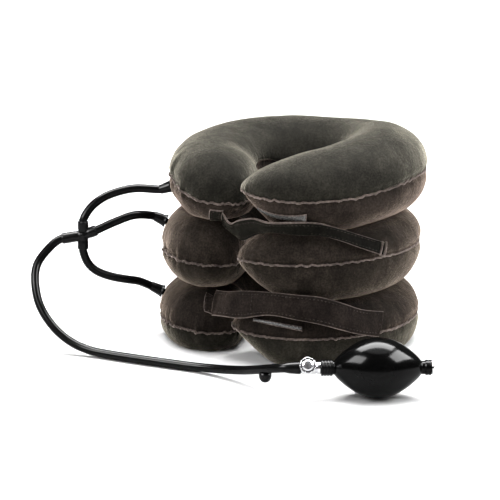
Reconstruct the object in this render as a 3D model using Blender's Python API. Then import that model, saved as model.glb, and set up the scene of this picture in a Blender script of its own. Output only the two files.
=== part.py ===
"""Inflatable three-tier neck traction collar with hoses, release valve and hand bulb.

World frame in metres, +Z up.  The collar's front split faces -Y.  COLLAR is the collar's own
centre on the floor in the frame; every length below is in millimetres in the collar's frame.
"""
import math
import bpy
import bmesh
import numpy as np
from mathutils import Matrix, Vector

for ob in list(bpy.data.objects):
    bpy.data.objects.remove(ob, do_unlink=True)

MM = 0.001
COLLAR = (-37.429, 27.923)     # x, y of the collar's centre in the frame

# ---------------------------------------------------------------- driving dimensions
COVER_T = 0.8                  # flocked cover thickness
BLADDER_GAP = 2.2             # cover to bladder
BLADDER_T = 0.9                # bladder wall
SEAM_GAP = 0.2                 # half gap between the two cover halves at the seam
SEAM_LIP = 1.8                 # how far the stitched seam stands out
TIER_GAP = 0.5                 # half gap between stacked tiers, filled by the bond bands
TIP_CLEAR = 2.0                # extra room between cover and bladder at each tip
PORT_HALF = 4.5                # half width of each port opening
PORT_SPREAD = 6.0              # half width of each port opening round the section, degrees
PORT_ANGLE = 61.0              # where the ports sit, degrees from the front split round the left
STATIONS = 27                  # stations along a tier
CURVE_N = 2.08                 # plan superellipse power
SPLIT_LEFT = 8.0               # where the left lobe starts, degrees left of the front
TIP_LEFT, TIP_RIGHT = 36.0, 60.0    # length over which each end rounds off
CURL = 6.0                     # how far the left tip turns in towards the neck
LEAN_R = 75.0                  # distance from a tier's centre at which its lean is reached

# half is a tier's radial half width; lo and hi bound it; seam is its height at the split and
# side how much higher it runs at the flanks; up and down are its rise above and below the seam,
# and lean is how much more it rises towards the right flank, towards the back and at both flanks.
# end is how far its right tip passes the front, in degrees; tuck is how sharply the underside of
# its left and right tips draws in; port is its port's section angle.
TIERS = {
    "bottom": dict(width=232.0, depth=226.0, half=38.0, cx=-6.0, lo=0.0, hi=54.5, seam=26.0,
                   side=-6.0, up=33.0, down=36.0, lean=(0.0, 0.0, 0.0), end=3.5,
                   tuck=(0.5, 1.5), port=24.0, port_up=True),
    "middle": dict(width=229.0, depth=226.0, half=38.0, cx=-4.0, lo=54.5, hi=117.5, seam=87.5,
                   side=-2.0, up=35.0, down=36.0, lean=(0.0, 0.0, 0.0), end=1.0,
                   tuck=(0.5, 0.8), port=26.0, port_up=True),
    "top": dict(width=225.0, depth=224.0, half=38.0, cx=3.0, lo=117.5, hi=400.0, seam=143.0,
                side=11.0, up=37.8, down=38.0, lean=(4.0, 6.0, -5.0), end=3.5,
                tuck=(0.8, 1.3), port=21.0, port_up=False),
}

# how far each tier's seam strays from its even run, as (mm along from its left tip, or back from
# its right tip, and mm up), while the tops and undersides of the tiers stay where they are
DRIFT = {
    "bottom": ([(0, -8), (25, -4), (60, -2), (95, 5), (150, 0)],
               [(0, 2), (50, 3.3), (100, 5), (170, 4), (240, 0)]),
    "middle": ([(0, -8), (20, -6), (50, -4.5), (95, -1), (150, 0)],
               [(0, 0.5), (20, 3.5), (50, 4.7), (100, 6.5), (170, 4.5), (240, 0)]),
    "top": ([(0, -10), (20, -9), (50, -3), (90, 3), (150, 0)],
            [(0, 7), (20, 4.5), (50, -1), (80, -3.5), (110, -1), (140, 2), (180, 3), (240, 0)]),
}


# ---------------------------------------------------------------- tier surface
def centre_line(t):
    """Centre line of a tier as an arc-length table, left tip round the back to the right tip."""
    a, b = t["width"] / 2 - t["half"], t["depth"] / 2 - t["half"]
    th = np.linspace(math.radians(SPLIT_LEFT), 2 * math.pi + math.radians(t["end"]), 1201)
    sx, cy = -np.sin(th), -np.cos(th)
    x = np.sign(sx) * np.abs(sx) ** (2 / CURVE_N) * a
    y = np.sign(cy) * np.abs(cy) ** (2 / CURVE_N) * b
    s = np.concatenate([[0.0], np.cumsum(np.hypot(np.diff(x), np.diff(y)))])
    pull = CURL * (np.clip(1 - s / 70, 0, 1) ** 2 - 0.6 * np.clip(1 - (s[-1] - s) / 80, 0, 1) ** 2)
    k = 1 - pull / np.hypot(x, y)
    x, y = x * k, y * k
    s = np.concatenate([[0.0], np.cumsum(np.hypot(np.diff(x), np.diff(y)))])
    return s, x + t["cx"], y, th


LINES = {name: centre_line(t) for name, t in TIERS.items()}


def tier_length(name):
    return float(LINES[name][0][-1])


def station(name, s):
    """Centre point, outward normal, seam height, and rise above and drop below it at arc length s."""
    t = TIERS[name]
    ss, xs, ys, th = LINES[name]
    x, y = float(np.interp(s, ss, xs)), float(np.interp(s, ss, ys))
    lo, hi = max(s - 1, 0), min(s + 1, ss[-1])
    dx = float(np.interp(hi, ss, xs) - np.interp(lo, ss, xs))
    dy = float(np.interp(hi, ss, ys) - np.interp(lo, ss, ys))
    n = math.hypot(dx, dy)
    nx, ny = -dy / n, dx / n
    if nx * (x - t["cx"]) + ny * y < 0:
        nx, ny = -nx, -ny
    flank = abs(math.sin(float(np.interp(s, ss, th)))) ** 1.5
    lean_right, lean_back, lean_sides = t["lean"]
    up = t["up"] + lean_right * (x - t["cx"]) / LEAN_R + lean_back * y / LEAN_R + lean_sides * flank
    left, right = DRIFT[name]
    drift = float(np.interp(s, *zip(*left)) + np.interp(ss[-1] - s, *zip(*right)))
    return x, y, nx, ny, t["seam"] + t["side"] * flank + drift, up - drift, t["down"] + drift


def tip_factors(name, s, inset):
    """Shares of the full width, rise and drop at arc length s, all falling to 0 at either tip."""
    dl, dr = s - inset, tier_length(name) - s - inset
    if dl < TIP_LEFT:
        f = max(0.0, 1 - (1 - max(dl, 0) / TIP_LEFT) ** 2)
        return f ** 0.5, f ** 0.4, f ** TIERS[name]["tuck"][0]
    if dr < TIP_RIGHT:
        f = max(0.0, 1 - (1 - max(dr, 0) / TIP_RIGHT) ** 2)
        return f ** 0.57, f ** 0.7, f ** TIERS[name]["tuck"][1]
    return 1.0, 1.0, 1.0


def tier_point(name, s, phi, inset=0.0, lip=0.0):
    """Surface point at arc length s and section angle phi (0 outer seam, 90 top, -90 bottom)."""
    t = TIERS[name]
    x, y, nx, ny, seam, up, down = station(name, s)
    wide, rising, falling = tip_factors(name, s, inset)
    c, sn = math.cos(math.radians(phi)), math.sin(math.radians(phi))
    r = (t["half"] - inset) * wide * c
    if lip:
        r += math.copysign(lip * min(1.0, wide * 3), c)
    if sn >= 0:
        z = seam + (up - inset) * rising * sn ** 0.85
    else:
        z = seam - (down - inset) * falling * abs(sn) ** (0.85 + 0.9 * (1 - falling))
    floor = t["lo"] + (TIER_GAP if t["lo"] > 0 else 0.0) + inset
    z = min(max(z, floor), t["hi"] - TIER_GAP - inset)
    return Vector((x + nx * r, y + ny * r, z))


def port_arc(name):
    ss, _, _, th = LINES[name]
    return float(np.interp(math.radians(PORT_ANGLE), th, ss))


def station_list(name, inset=0.0):
    """Stations closer together at the two tips, with a pair that brackets the port."""
    length = tier_length(name)
    u = np.linspace(0, 1, STATIONS)
    s = length * (u - 0.07 * np.sin(2 * math.pi * u))
    p = port_arc(name)
    s = [v for v in s if abs(v - p) > PORT_HALF + 5] + [p - PORT_HALF, p + PORT_HALF]
    s = sorted(s)
    return [inset + v * (length - 2 * inset) / length if v < p - 30 or v > p + 30 else v for v in s]


def angle_list(name):
    """Section angles of a cover half, outer seam over the back of the tier to the inner seam."""
    pc = TIERS[name]["port"]
    return [0, 5, pc - PORT_SPREAD, pc + PORT_SPREAD, 68, 98, 130, 158, 180]


# ---------------------------------------------------------------- mesh helpers
def world(v):
    return ((v[0] + COLLAR[0]) * MM, (v[1] + COLLAR[1]) * MM, v[2] * MM)


def material(name, color, metallic=0.0, rough=0.6):
    mat = bpy.data.materials.new(name)
    mat.use_nodes = True
    bsdf = mat.node_tree.nodes["Principled BSDF"]
    bsdf.inputs["Base Color"].default_value = (*color, 1.0)
    bsdf.inputs["Metallic"].default_value = metallic
    bsdf.inputs["Roughness"].default_value = rough
    return mat


def finish(name, mesh, color, metallic=0.0, rough=0.6):
    ob = bpy.data.objects.new(name, mesh)
    bpy.context.scene.collection.objects.link(ob)
    mesh.materials.clear()
    mesh.materials.append(material(name, color, metallic, rough))
    return ob


def mesh_from(name, verts, faces, color, metallic=0.0, rough=0.6, smooth=True):
    bm = bmesh.new()
    vs = [bm.verts.new(world(v)) for v in verts]
    for f in faces:
        try:
            bm.faces.new([vs[i] for i in f])
        except ValueError:
            pass
    bmesh.ops.remove_doubles(bm, verts=bm.verts, dist=0.00004)
    bmesh.ops.dissolve_degenerate(bm, edges=bm.edges, dist=0.00002)
    bmesh.ops.recalc_face_normals(bm, faces=bm.faces)
    me = bpy.data.meshes.new(name)
    bm.to_mesh(me)
    bm.free()
    if smooth:
        me.shade_smooth()
    return finish(name, me, color, metallic, rough)


def frame_at(origin, xdir, up=(0, 0, 1)):
    """Matrix whose X runs along xdir, in collar millimetres."""
    x = Vector(xdir).normalized()
    u = Vector(up)
    if abs(x.dot(u.normalized())) > 0.95:
        u = Vector((0, 1, 0))
    y = u.cross(x).normalized()
    z = x.cross(y)
    m = Matrix((x, y, z)).transposed().to_4x4()
    m.translation = Vector(origin)
    return m


def revolve(name, frame, profile, color, metallic=0.0, rough=0.5, seg=16):
    """Closed ring body from a closed profile of (x, r) points, or a solid if it meets the axis."""
    verts, faces = [], []
    n = len(profile)
    for k in range(seg):
        a = 2 * math.pi * k / seg
        for x, r in profile:
            verts.append(frame @ Vector((x, r * math.cos(a), r * math.sin(a))))
    for k in range(seg):
        for i in range(n):
            j = (i + 1) % n
            if profile[i][1] < 1e-6 and profile[j][1] < 1e-6:
                continue
            k2 = (k + 1) % seg
            faces.append((k * n + i, k * n + j, k2 * n + j, k2 * n + i))
    return mesh_from(name, verts, faces, color, metallic, rough)


def temp_cyl(frame, x0, x1, r, seg=14):
    bm = bmesh.new()
    bmesh.ops.create_cone(bm, cap_ends=True, segments=seg, radius1=r * MM, radius2=r * MM,
                          depth=(x1 - x0) * MM)
    me = bpy.data.meshes.new("tmp")
    turn = Matrix.Rotation(math.radians(90), 4, "Y")
    shift = Matrix.Translation(Vector(((x0 + x1) / 2 * MM, 0, 0)))
    fr = frame.copy()
    fr.translation = Vector(world(frame.translation))
    bmesh.ops.transform(bm, matrix=fr @ shift @ turn, verts=bm.verts)
    bm.to_mesh(me)
    bm.free()
    ob = bpy.data.objects.new("tmp", me)
    bpy.context.scene.collection.objects.link(ob)
    return ob


def combine(name, adds, cuts, color, metallic=0.0, rough=0.5):
    """Union the first list and subtract the second, leaving one plain mesh object."""
    base = adds[0]
    for op, group in (("UNION", adds[1:]), ("DIFFERENCE", cuts)):
        for other in group:
            mod = base.modifiers.new("b", "BOOLEAN")
            mod.operation = op
            mod.solver = "EXACT"
            mod.object = other
    dg = bpy.context.evaluated_depsgraph_get()
    me = bpy.data.meshes.new_from_object(base.evaluated_get(dg))
    me.name = name
    for ob in adds + cuts:
        bpy.data.objects.remove(ob, do_unlink=True)
    return finish(name, me, color, metallic, rough)


# ---------------------------------------------------------------- tiers
CLOTH_UP = (0.115, 0.105, 0.09)
CLOTH_DOWN = (0.10, 0.085, 0.075)
RUBBER = (0.012, 0.012, 0.013)


def shell(name, tier, sign, color):
    """One half cover: outer skin, inner skin and the flat rim at the seam."""
    angles = [sign * a for a in angle_list(tier)]
    n = len(angles)
    port_here = TIERS[tier]["port_up"] == (sign > 0)
    grids = []
    for inset in (0.0, COVER_T):
        grid = []
        for s in station_list(tier, inset):
            row = []
            for j, a in enumerate(angles):
                edge = j in (0, n - 1)
                p = tier_point(tier, s, a, inset, SEAM_LIP if edge and inset == 0 else 0.0)
                if edge:
                    p.z += sign * SEAM_GAP
                elif inset == 0 and j in (1, n - 2):
                    p.z += sign * 0.4
                row.append(p)
            grid.append(row)
        grids.append(grid)
    m = len(grids[0])
    verts = [p for grid in grids for row in grid for p in row]
    off = m * n
    p_arc = port_arc(tier)
    st = station_list(tier)
    ip = max(i for i, s in enumerate(st) if s < p_arc)
    faces = []
    for i in range(m - 1):
        for j in range(n - 1):
            a, b, c, d = i * n + j, (i + 1) * n + j, (i + 1) * n + j + 1, i * n + j + 1
            if port_here and i == ip and j == 2:
                ring = (a, b, c, d)
                for q in range(4):
                    u, v = ring[q], ring[(q + 1) % 4]
                    faces.append((u, v, v + off, u + off))
                continue
            faces.append((a, b, c, d))
            faces.append((d + off, c + off, b + off, a + off))
        for j in (0, n - 1):
            a, b = i * n + j, (i + 1) * n + j
            faces.append((a, b, b + off, a + off))
    for end in (0, m - 1):
        for base in (0, off):
            ring = [base + end * n + j for j in range(n)]
            mid = sum((verts[i] for i in ring), Vector()) / n
            for i in ring:
                verts[i] = mid
    return mesh_from(name, verts, faces, color, rough=0.95)


def bladder(name, tier):
    """Hollow C-shaped air chamber with a square port through its wall."""
    up = [a for a in angle_list(tier) if a not in (5, 158, 180)]
    angles = up + [180] + [-a for a in reversed(up[1:])]
    n = len(angles)
    outer = COVER_T + BLADDER_GAP
    st = station_list(tier)
    p_arc = port_arc(tier)
    ip = max(i for i, s in enumerate(st) if s < p_arc)
    want = 1 if TIERS[tier]["port_up"] else n - 2
    verts = []
    for inset in (outer, outer + BLADDER_T):
        near, far = inset + TIP_CLEAR, tier_length(tier) - inset - TIP_CLEAR
        for s in st:
            for a in angles:
                verts.append(tier_point(tier, min(max(s, near), far), a, inset))
    m = len(st)
    off = m * n
    for end in (0, m - 1):
        for base in (0, off):
            ring = [base + end * n + j for j in range(n)]
            mid = sum((verts[i] for i in ring), Vector()) / n
            for i in ring:
                verts[i] = mid
    faces = []
    for i in range(m - 1):
        for j in range(n):
            k = (j + 1) % n
            a, b, c, d = i * n + j, (i + 1) * n + j, (i + 1) * n + k, i * n + k
            if i == ip and j == want:
                ring = (a, b, c, d)
                for q in range(4):
                    u, v = ring[q], ring[(q + 1) % 4]
                    faces.append((u, v, v + off, u + off))
                continue
            faces.append((a, b, c, d))
            faces.append((d + off, c + off, b + off, a + off))
    return mesh_from(name, verts, faces, (0.03, 0.03, 0.033), rough=0.7)


def port_frame(tier):
    """Centre and outward normal of a tier's port facet."""
    t = TIERS[tier]
    sign = 1 if t["port_up"] else -1
    s = port_arc(tier)
    a = [tier_point(tier, s + ds, sign * (t["port"] + da))
         for ds, da in ((-PORT_HALF, -PORT_SPREAD), (PORT_HALF, -PORT_SPREAD),
                        (PORT_HALF, PORT_SPREAD), (-PORT_HALF, PORT_SPREAD))]
    c = sum(a, Vector()) / 4
    n = (a[2] - a[0]).cross(a[3] - a[1]).normalized()
    _, _, nx, ny, _, _, _ = station(tier, s)
    if n.dot(Vector((nx, ny, 0))) < 0:
        n = -n
    return c, n


def bond_band(name, lower, upper, z):
    """Thin flat band that ties two stacked tiers together round the back."""
    length = tier_length(lower)
    verts, faces = [], []
    m = 15
    for i in range(m):
        s = length * (0.24 + 0.52 * i / (m - 1))
        x, y, nx, ny, _, _, _ = station(lower, s)
        for r, h in ((-7, -0.25), (7, -0.25), (7, 0.25), (-7, 0.25)):
            verts.append(Vector((x + nx * r, y + ny * r, z + h)))
    for i in range(m - 1):
        for j in range(4):
            k = (j + 1) % 4
            faces.append((i * 4 + j, i * 4 + k, (i + 1) * 4 + k, (i + 1) * 4 + j))
    faces += [(0, 1, 2, 3), tuple((m - 1) * 4 + j for j in (3, 2, 1, 0))]
    return mesh_from(name, verts, faces, CLOTH_DOWN, rough=0.95, smooth=False)


for tier in TIERS:
    shell(tier + "_cover_upper", tier, 1, CLOTH_UP)
    shell(tier + "_cover_lower", tier, -1, CLOTH_DOWN)
    bladder(tier + "_bladder", tier)
bond_band("lower_bond_band", "bottom", "middle", TIERS["bottom"]["hi"])
bond_band("upper_bond_band", "middle", "top", TIERS["middle"]["hi"])

# ---------------------------------------------------------------- patches and straps


def patch(name, tier, s0, s1, p0, p1, low, thick, color, slant=0.0, skew=0.0, cols=6, rows=4):
    """Thin panel lying on a tier, low mm above its skin, between two arc lengths and angles.

    slant is how much further round the section its s1 end lies, in degrees, and skew how much
    further along the tier its p1 side lies, in mm."""
    verts, faces = [], []
    for inset in (-low, -low - thick):
        for i in range(cols):
            for j in range(rows):
                s = s0 + (s1 - s0) * i / (cols - 1) + skew * j / (rows - 1)
                a = p0 + (p1 - p0) * j / (rows - 1) + slant * i / (cols - 1)
                verts.append(tier_point(tier, s, a, inset))
    off = cols * rows
    for i in range(cols - 1):
        for j in range(rows - 1):
            a, b, c, d = i * rows + j, (i + 1) * rows + j, (i + 1) * rows + j + 1, i * rows + j + 1
            faces += [(a, b, c, d), (d + off, c + off, b + off, a + off)]
    rim = [i * rows for i in range(cols)] + [(cols - 1) * rows + j for j in range(1, rows)]
    rim += [i * rows + rows - 1 for i in range(cols - 2, -1, -1)] + list(range(rows - 2, 0, -1))
    for q in range(len(rim)):
        u, v = rim[q], rim[(q + 1) % len(rim)]
        faces.append((u, v, v + off, u + off))
    return mesh_from(name, verts, faces, color, rough=0.95)


def smooth_line(points, step, inner=False):
    """Catmull-Rom line through hand-picked points at an even step, the two end runs left out if inner."""
    pts = [Vector(p) for p in points]
    ext = pts if inner else [2 * pts[0] - pts[1]] + pts + [2 * pts[-1] - pts[-2]]
    dense = []
    for i in range(1, len(ext) - 2):
        p0, p1, p2, p3 = ext[i - 1:i + 3]
        for k in range(12):
            u = k / 12
            dense.append(0.5 * ((2 * p1) + (p2 - p0) * u + (2 * p0 - 5 * p1 + 4 * p2 - p3) * u * u
                                + (3 * p1 - p0 - 3 * p2 + p3) * u ** 3))
    dense.append(ext[-2])
    run = [0.0]
    for a, b in zip(dense, dense[1:]):
        run.append(run[-1] + (b - a).length)
    n = max(2, int(round(run[-1] / step)))
    out = []
    for i in range(n + 1):
        d = run[-1] * i / n
        out.append(Vector([float(np.interp(d, run, [p[k] for p in dense])) for k in range(3)]))
    return out


def ribbon(name, upper, lower, bulge, thick, color, cols=15, across=4):
    """Webbing strap between an upper and a lower edge line, bowed outward by bulge."""
    def even(points):
        line = smooth_line(points, 4)
        idx = np.linspace(0, len(line) - 1, cols)
        return [Vector([float(np.interp(q, range(len(line)), [p[k] for p in line])) for k in range(3)])
                for q in idx]
    up, lo = even(upper), even(lower)
    verts, faces = [], []
    for side in (0, 1):
        for i in range(cols):
            a, b = up[i], lo[i]
            t = up[min(i + 1, cols - 1)] - up[max(i - 1, 0)] + lo[min(i + 1, cols - 1)] - lo[max(i - 1, 0)]
            n = (b - a).cross(t).normalized()
            if n.dot(Vector((a.x, a.y, 0))) < 0:
                n = -n
            for j in range(across):
                f = j / (across - 1)
                verts.append(a.lerp(b, f) + n * (bulge * 4 * f * (1 - f) + side * thick))
    off = cols * across
    for i in range(cols - 1):
        for j in range(across - 1):
            a, b = i * across + j, (i + 1) * across + j
            faces += [(a, b, b + 1, a + 1), (a + 1 + off, b + 1 + off, b + off, a + off)]
    rim = [i * across for i in range(cols)] + [(cols - 1) * across + j for j in range(1, across)]
    rim += [i * across + across - 1 for i in range(cols - 2, -1, -1)] + list(range(across - 2, 0, -1))
    for q in range(len(rim)):
        u, v = rim[q], rim[(q + 1) % len(rim)]
        faces.append((u, v, v + off, u + off))
    return mesh_from(name, verts, faces, color, rough=0.95)


STRAP_T = 1.5
TOP_STRAP = (
    [(-17, -90, 128), (-9, -90, 120), (1, -93, 124), (19, -97, 129), (37, -103, 129), (50, -102, 130),
     (63, -97, 131), (76, -83, 129), (87, -67, 122), (98, -50, 114), (108, -30, 105)],
    [(-20, -85, 116), (-17, -78, 110), (-10, -77, 105), (1, -83, 104), (17, -89, 112), (32, -94, 118),
     (45, -94, 119),
     (58, -89, 118), (74, -79, 117), (88, -67, 111), (99, -52, 103), (110, -36, 95)])
BOTTOM_STRAP = (
    [(-26, -85, 56), (-12, -90, 58), (11, -95, 63), (37, -97, 66), (60, -92, 66), (76, -81, 64),
     (88, -68, 58), (99, -52, 50), (107, -29, 44)],
    [(-23, -97, 36), (-10, -101, 38), (11, -103, 40), (39, -103, 47), (63, -97, 45), (79, -86, 41),
     (92, -73, 35), (102, -58, 29), (109, -40, 24)])
GREY = (0.20, 0.20, 0.20)

top_len, bot_len = tier_length("top"), tier_length("bottom")
patch("top_hook_patch", "top", top_len - 53, top_len - 21, -12, -21, 0.4, 0.5, GREY, slant=-20.0)
patch("bottom_hook_patch", "bottom", bot_len - 58, bot_len - 27, 19, 12, 0.9, 0.6, GREY, slant=12.0)
patch("top_strap_root", "top", 9, 15, -29, -61, 0.5, 1.0, CLOTH_DOWN, slant=10.0, skew=5.5, cols=4)
patch("bottom_strap_root", "bottom", 14, 20.5, 62, 30, 0.9, 1.0, CLOTH_UP, skew=-6.0, cols=4, rows=6)
ribbon("top_strap", TOP_STRAP[0], TOP_STRAP[1], 1.0, STRAP_T, CLOTH_DOWN)
ribbon("bottom_strap", BOTTOM_STRAP[0], BOTTOM_STRAP[1], 1.5, STRAP_T, CLOTH_UP)

# ---------------------------------------------------------------- ports, hoses, connector
HOSE_R = 3.8
CUP_R = 4.15
BORE_R = 1.6
LONG_STEP, SHORT_STEP = 17.0, 11.0    # spacing of the points along the main and branch hoses

PORTS = {}
for tier in TIERS:
    c, n = port_frame(tier)
    flat = Vector((n.x, n.y, 0)).normalized()
    axis = (n * 0.9 + flat * 0.1).normalized()
    PORTS[tier] = (c, axis)
    revolve(tier + "_port", frame_at(c, axis),
            [(-7.1, BORE_R), (-7.1, 5.4), (-5.9, 5.4), (-5.9, 2.9), (1.3, 2.9), (1.3, 5.8), (2.7, 6.2),
             (10.0, 4.9), (10.0, CUP_R), (3.4, CUP_R), (3.4, BORE_R)], RUBBER, rough=0.45, seg=14)

CROSS = Vector((-152, -111, 94))
ARMS = {"up": Vector((0.0, 0.02, 1)), "down": Vector((0, -0.05, -1)),
        "right": Vector((0.78, 0.52, 0.35)), "left": Vector((-0.82, -0.55, -0.17))}
ARM_LEN = {"up": 12.5, "down": 12.5, "right": 12.5, "left": 19.0}
for key in ARMS:
    ARMS[key].normalize()
combine("four_way_connector",
        [temp_cyl(frame_at(CROSS, ARMS["up"]), -ARM_LEN["down"], ARM_LEN["up"], 4.9)]
        + [temp_cyl(frame_at(CROSS, ARMS[k]), 0, ARM_LEN[k], 4.9) for k in ("right", "left")],
        [temp_cyl(frame_at(CROSS, ARMS[k]), 5.2, ARM_LEN[k] + 1, CUP_R) for k in ARMS]
        + [temp_cyl(frame_at(CROSS, ARMS[k]), -1, 6.0, BORE_R, 8) for k in ARMS],
        RUBBER, rough=0.35)


def port_run(tier, d):
    c, axis = PORTS[tier]
    return c + axis * d


def arm_run(key, d):
    return CROSS + ARMS[key] * d


VALVE_DIR = Vector((0.83, 0.557, 0.0)).normalized()
BULB_C = Vector((157.0, -123.0, 25.5))
BULB_MID, BULB_HALF = 57.5, 35.5      # bulb's centre from the valve's, and its half length
VALVE_O = BULB_C - VALVE_DIR * BULB_MID
VF = frame_at(VALVE_O, VALVE_DIR)

ROUTES = {
    "top_hose": [port_run("top", 4.0), port_run("top", 12.5), (-121, -72, 133), (-132, -83, 131),
                 (-142, -94, 126), (-149, -103, 118), arm_run("up", 13.5), arm_run("up", 6)],
    "middle_hose": [port_run("middle", 4.0), port_run("middle", 12.5), (-119, -78, 110), (-131, -91, 105),
                    arm_run("right", 13.5), arm_run("right", 6)],
    "bottom_hose": [arm_run("down", 6), arm_run("down", 13.5), (-149, -109, 69), (-143, -104, 61),
                    (-134, -94, 55), (-125, -82, 51), (-120, -72, 48), port_run("bottom", 12.5),
                    port_run("bottom", 4.0)],
    "main_hose": [arm_run("left", 7), arm_run("left", 20), (-174, -131, 84), (-178, -144, 71),
                  (-173, -154, 56), (-163, -160, 38), (-147, -162, 22), (-130, -160, 11),
                  (-112, -157, 5.5), (-91, -155, 4.4), (-52, -151, 4.4), (-15, -146, 4.4),
                  (5, -145, 5.5), (25, -147, 8), (45, -152, 12), (63, -158, 17), (80, -163, 22),
                  VALVE_O - VALVE_DIR * 16.5, VALVE_O - VALVE_DIR * 7.2],
}


def hose(name, points, radius):
    cu = bpy.data.curves.new(name, "CURVE")
    cu.dimensions = "3D"
    step = LONG_STEP if name == "main_hose" else SHORT_STEP
    line = [Vector(points[0])] + smooth_line(points, step, True) + [Vector(points[-1])]
    sp = cu.splines.new("POLY")
    sp.points.add(len(line) - 1)
    for p, q in zip(sp.points, line):
        p.co = (*world(q), 1.0)
    cu.bevel_depth = radius * MM
    cu.bevel_resolution = 2
    cu.use_fill_caps = True
    ob = bpy.data.objects.new(name, cu)
    bpy.context.scene.collection.objects.link(ob)
    cu.materials.append(material(name, RUBBER, 0.0, 0.3))
    return ob


for key, pts in ROUTES.items():
    hose(key, pts, HOSE_R)

STUB_BASE = (72.0, -160.6, 8.3)
revolve("hose_stub", frame_at(STUB_BASE, (0, 0, 1)),
        [(0, 0), (0, 2.6), (1.2, 3.8), (4.6, 3.8), (4.6, 3.0), (6.4, 3.0), (6.4, 0)], RUBBER, rough=0.4,
        seg=14)

# ---------------------------------------------------------------- release valve
CHROME = (0.75, 0.75, 0.76)
STEM = (Vector((VALVE_DIR.y, -VALVE_DIR.x, 0)) * math.cos(math.radians(25))
        + Vector((0, 0, math.sin(math.radians(25)))))
SF = frame_at(VALVE_O, STEM)
revolve("hose_ferrule", VF,
        [(-13.5, CUP_R), (-13.5, 5.3), (-5.4, 5.3), (-5.4, BORE_R), (-6.4, BORE_R), (-6.4, CUP_R)],
        RUBBER, rough=0.35)
combine("valve_body",
        [temp_cyl(VF, -5.0, 11.0, 5.3), temp_cyl(VF, 10.0, 20.0, 3.8), temp_cyl(SF, 0, 9.4, 4.2)],
        [temp_cyl(VF, 13.0, 21.0, 3.0), temp_cyl(VF, -6, 14.0, BORE_R, 10), temp_cyl(SF, 2.2, 10.0, 2.3, 12)],
        CHROME, 1.0, 0.12)
revolve("release_wheel", SF,
        [(2.9, 0), (2.9, 0.8), (4.2, 1.95), (9.9, 1.95), (9.9, 6.2), (10.5, 6.9), (14.0, 6.9), (14.8, 6.1),
         (14.8, 4.4), (14.1, 4.0), (14.1, 0)], CHROME, 1.0, 0.15, seg=24)
revolve("outlet_seat", VF, [(16.6, 1.5), (16.6, 2.8), (18.2, 2.8), (18.2, 1.5)], RUBBER, seg=12)
revolve("outlet_disc", VF, [(15.2, 0), (15.2, 2.5), (16.2, 2.5), (16.2, 0)], RUBBER, seg=12)

# ---------------------------------------------------------------- hand bulb
BULB_R = 25.2
BULB_WALL = 2.4
NECK_R = 5.6


def bulb_radius(u, r, neck):
    """Bulb radius at u from -1 to 1 along its body, between its neck and full radius."""
    return neck + (r - neck) * math.cos(math.pi / 2 * u) ** 0.82


outer = [(BULB_MID + BULB_HALF * u, bulb_radius(u, BULB_R, NECK_R)) for u in np.linspace(-1, 1, 13)]
inner = [(BULB_MID + (BULB_HALF - 2.5) * u, bulb_radius(u, BULB_R - BULB_WALL, CUP_R))
         for u in np.linspace(1, -1, 11)]
revolve("bulb", VF, [(12.4, NECK_R)] + outer + [(101.0, NECK_R), (101.0, CUP_R)] + inner + [(12.4, CUP_R)],
        RUBBER, rough=0.12, seg=20)
ribs = [(11.4, 5.9), (11.4, 6.3), (12.3, 6.9), (13.8, 6.9), (14.5, 6.3), (15.4, 6.3), (16.1, 6.9),
        (17.6, 6.9), (18.3, 6.3), (20.4, 6.5), (20.4, 5.9)]
revolve("bulb_neck_sleeve", VF, ribs, RUBBER, rough=0.3)
revolve("intake_valve_body", VF,
        [(92.0, 2.95), (92.0, 3.8), (101.3, 3.8), (101.3, 5.8), (103.2, 5.8), (103.2, 1.5), (99.0, 1.5),
         (99.0, 2.95)], CHROME, 1.0, 0.15)
revolve("intake_retainer", VF, [(93.0, 1.6), (93.0, 2.7), (94.5, 2.7), (94.5, 1.6)], CHROME, 1.0, 0.3, seg=12)
revolve("intake_disc", VF, [(97.6, 0), (97.6, 2.5), (98.7, 2.5), (98.7, 0)], RUBBER, seg=12)


# ---------------------------------------------------------------- moving pieces turn about their own origins
def set_origin(name, point):
    """Put a moving piece's origin on its joint's axis without moving its surface."""
    ob = bpy.data.objects[name]
    at = Vector(world(point))
    ob.data.transform(Matrix.Translation(-at))
    ob.location = at


TOP_HINGE = (-18.5, -89.5, 121.5)
BOTTOM_HINGE = (-24.5, -91.0, 46.0)
set_origin("top_strap", TOP_HINGE)
set_origin("bottom_strap", BOTTOM_HINGE)
set_origin("release_wheel", VALVE_O)
set_origin("outlet_disc", VALVE_O + VALVE_DIR * 15.7)
set_origin("intake_disc", VALVE_O + VALVE_DIR * 98.15)
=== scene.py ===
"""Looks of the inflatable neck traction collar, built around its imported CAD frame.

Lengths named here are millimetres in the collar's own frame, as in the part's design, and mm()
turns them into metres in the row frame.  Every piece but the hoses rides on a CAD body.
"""

import math

import bmesh
import bpy
import numpy as np
from mathutils import Matrix, Vector, noise


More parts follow.
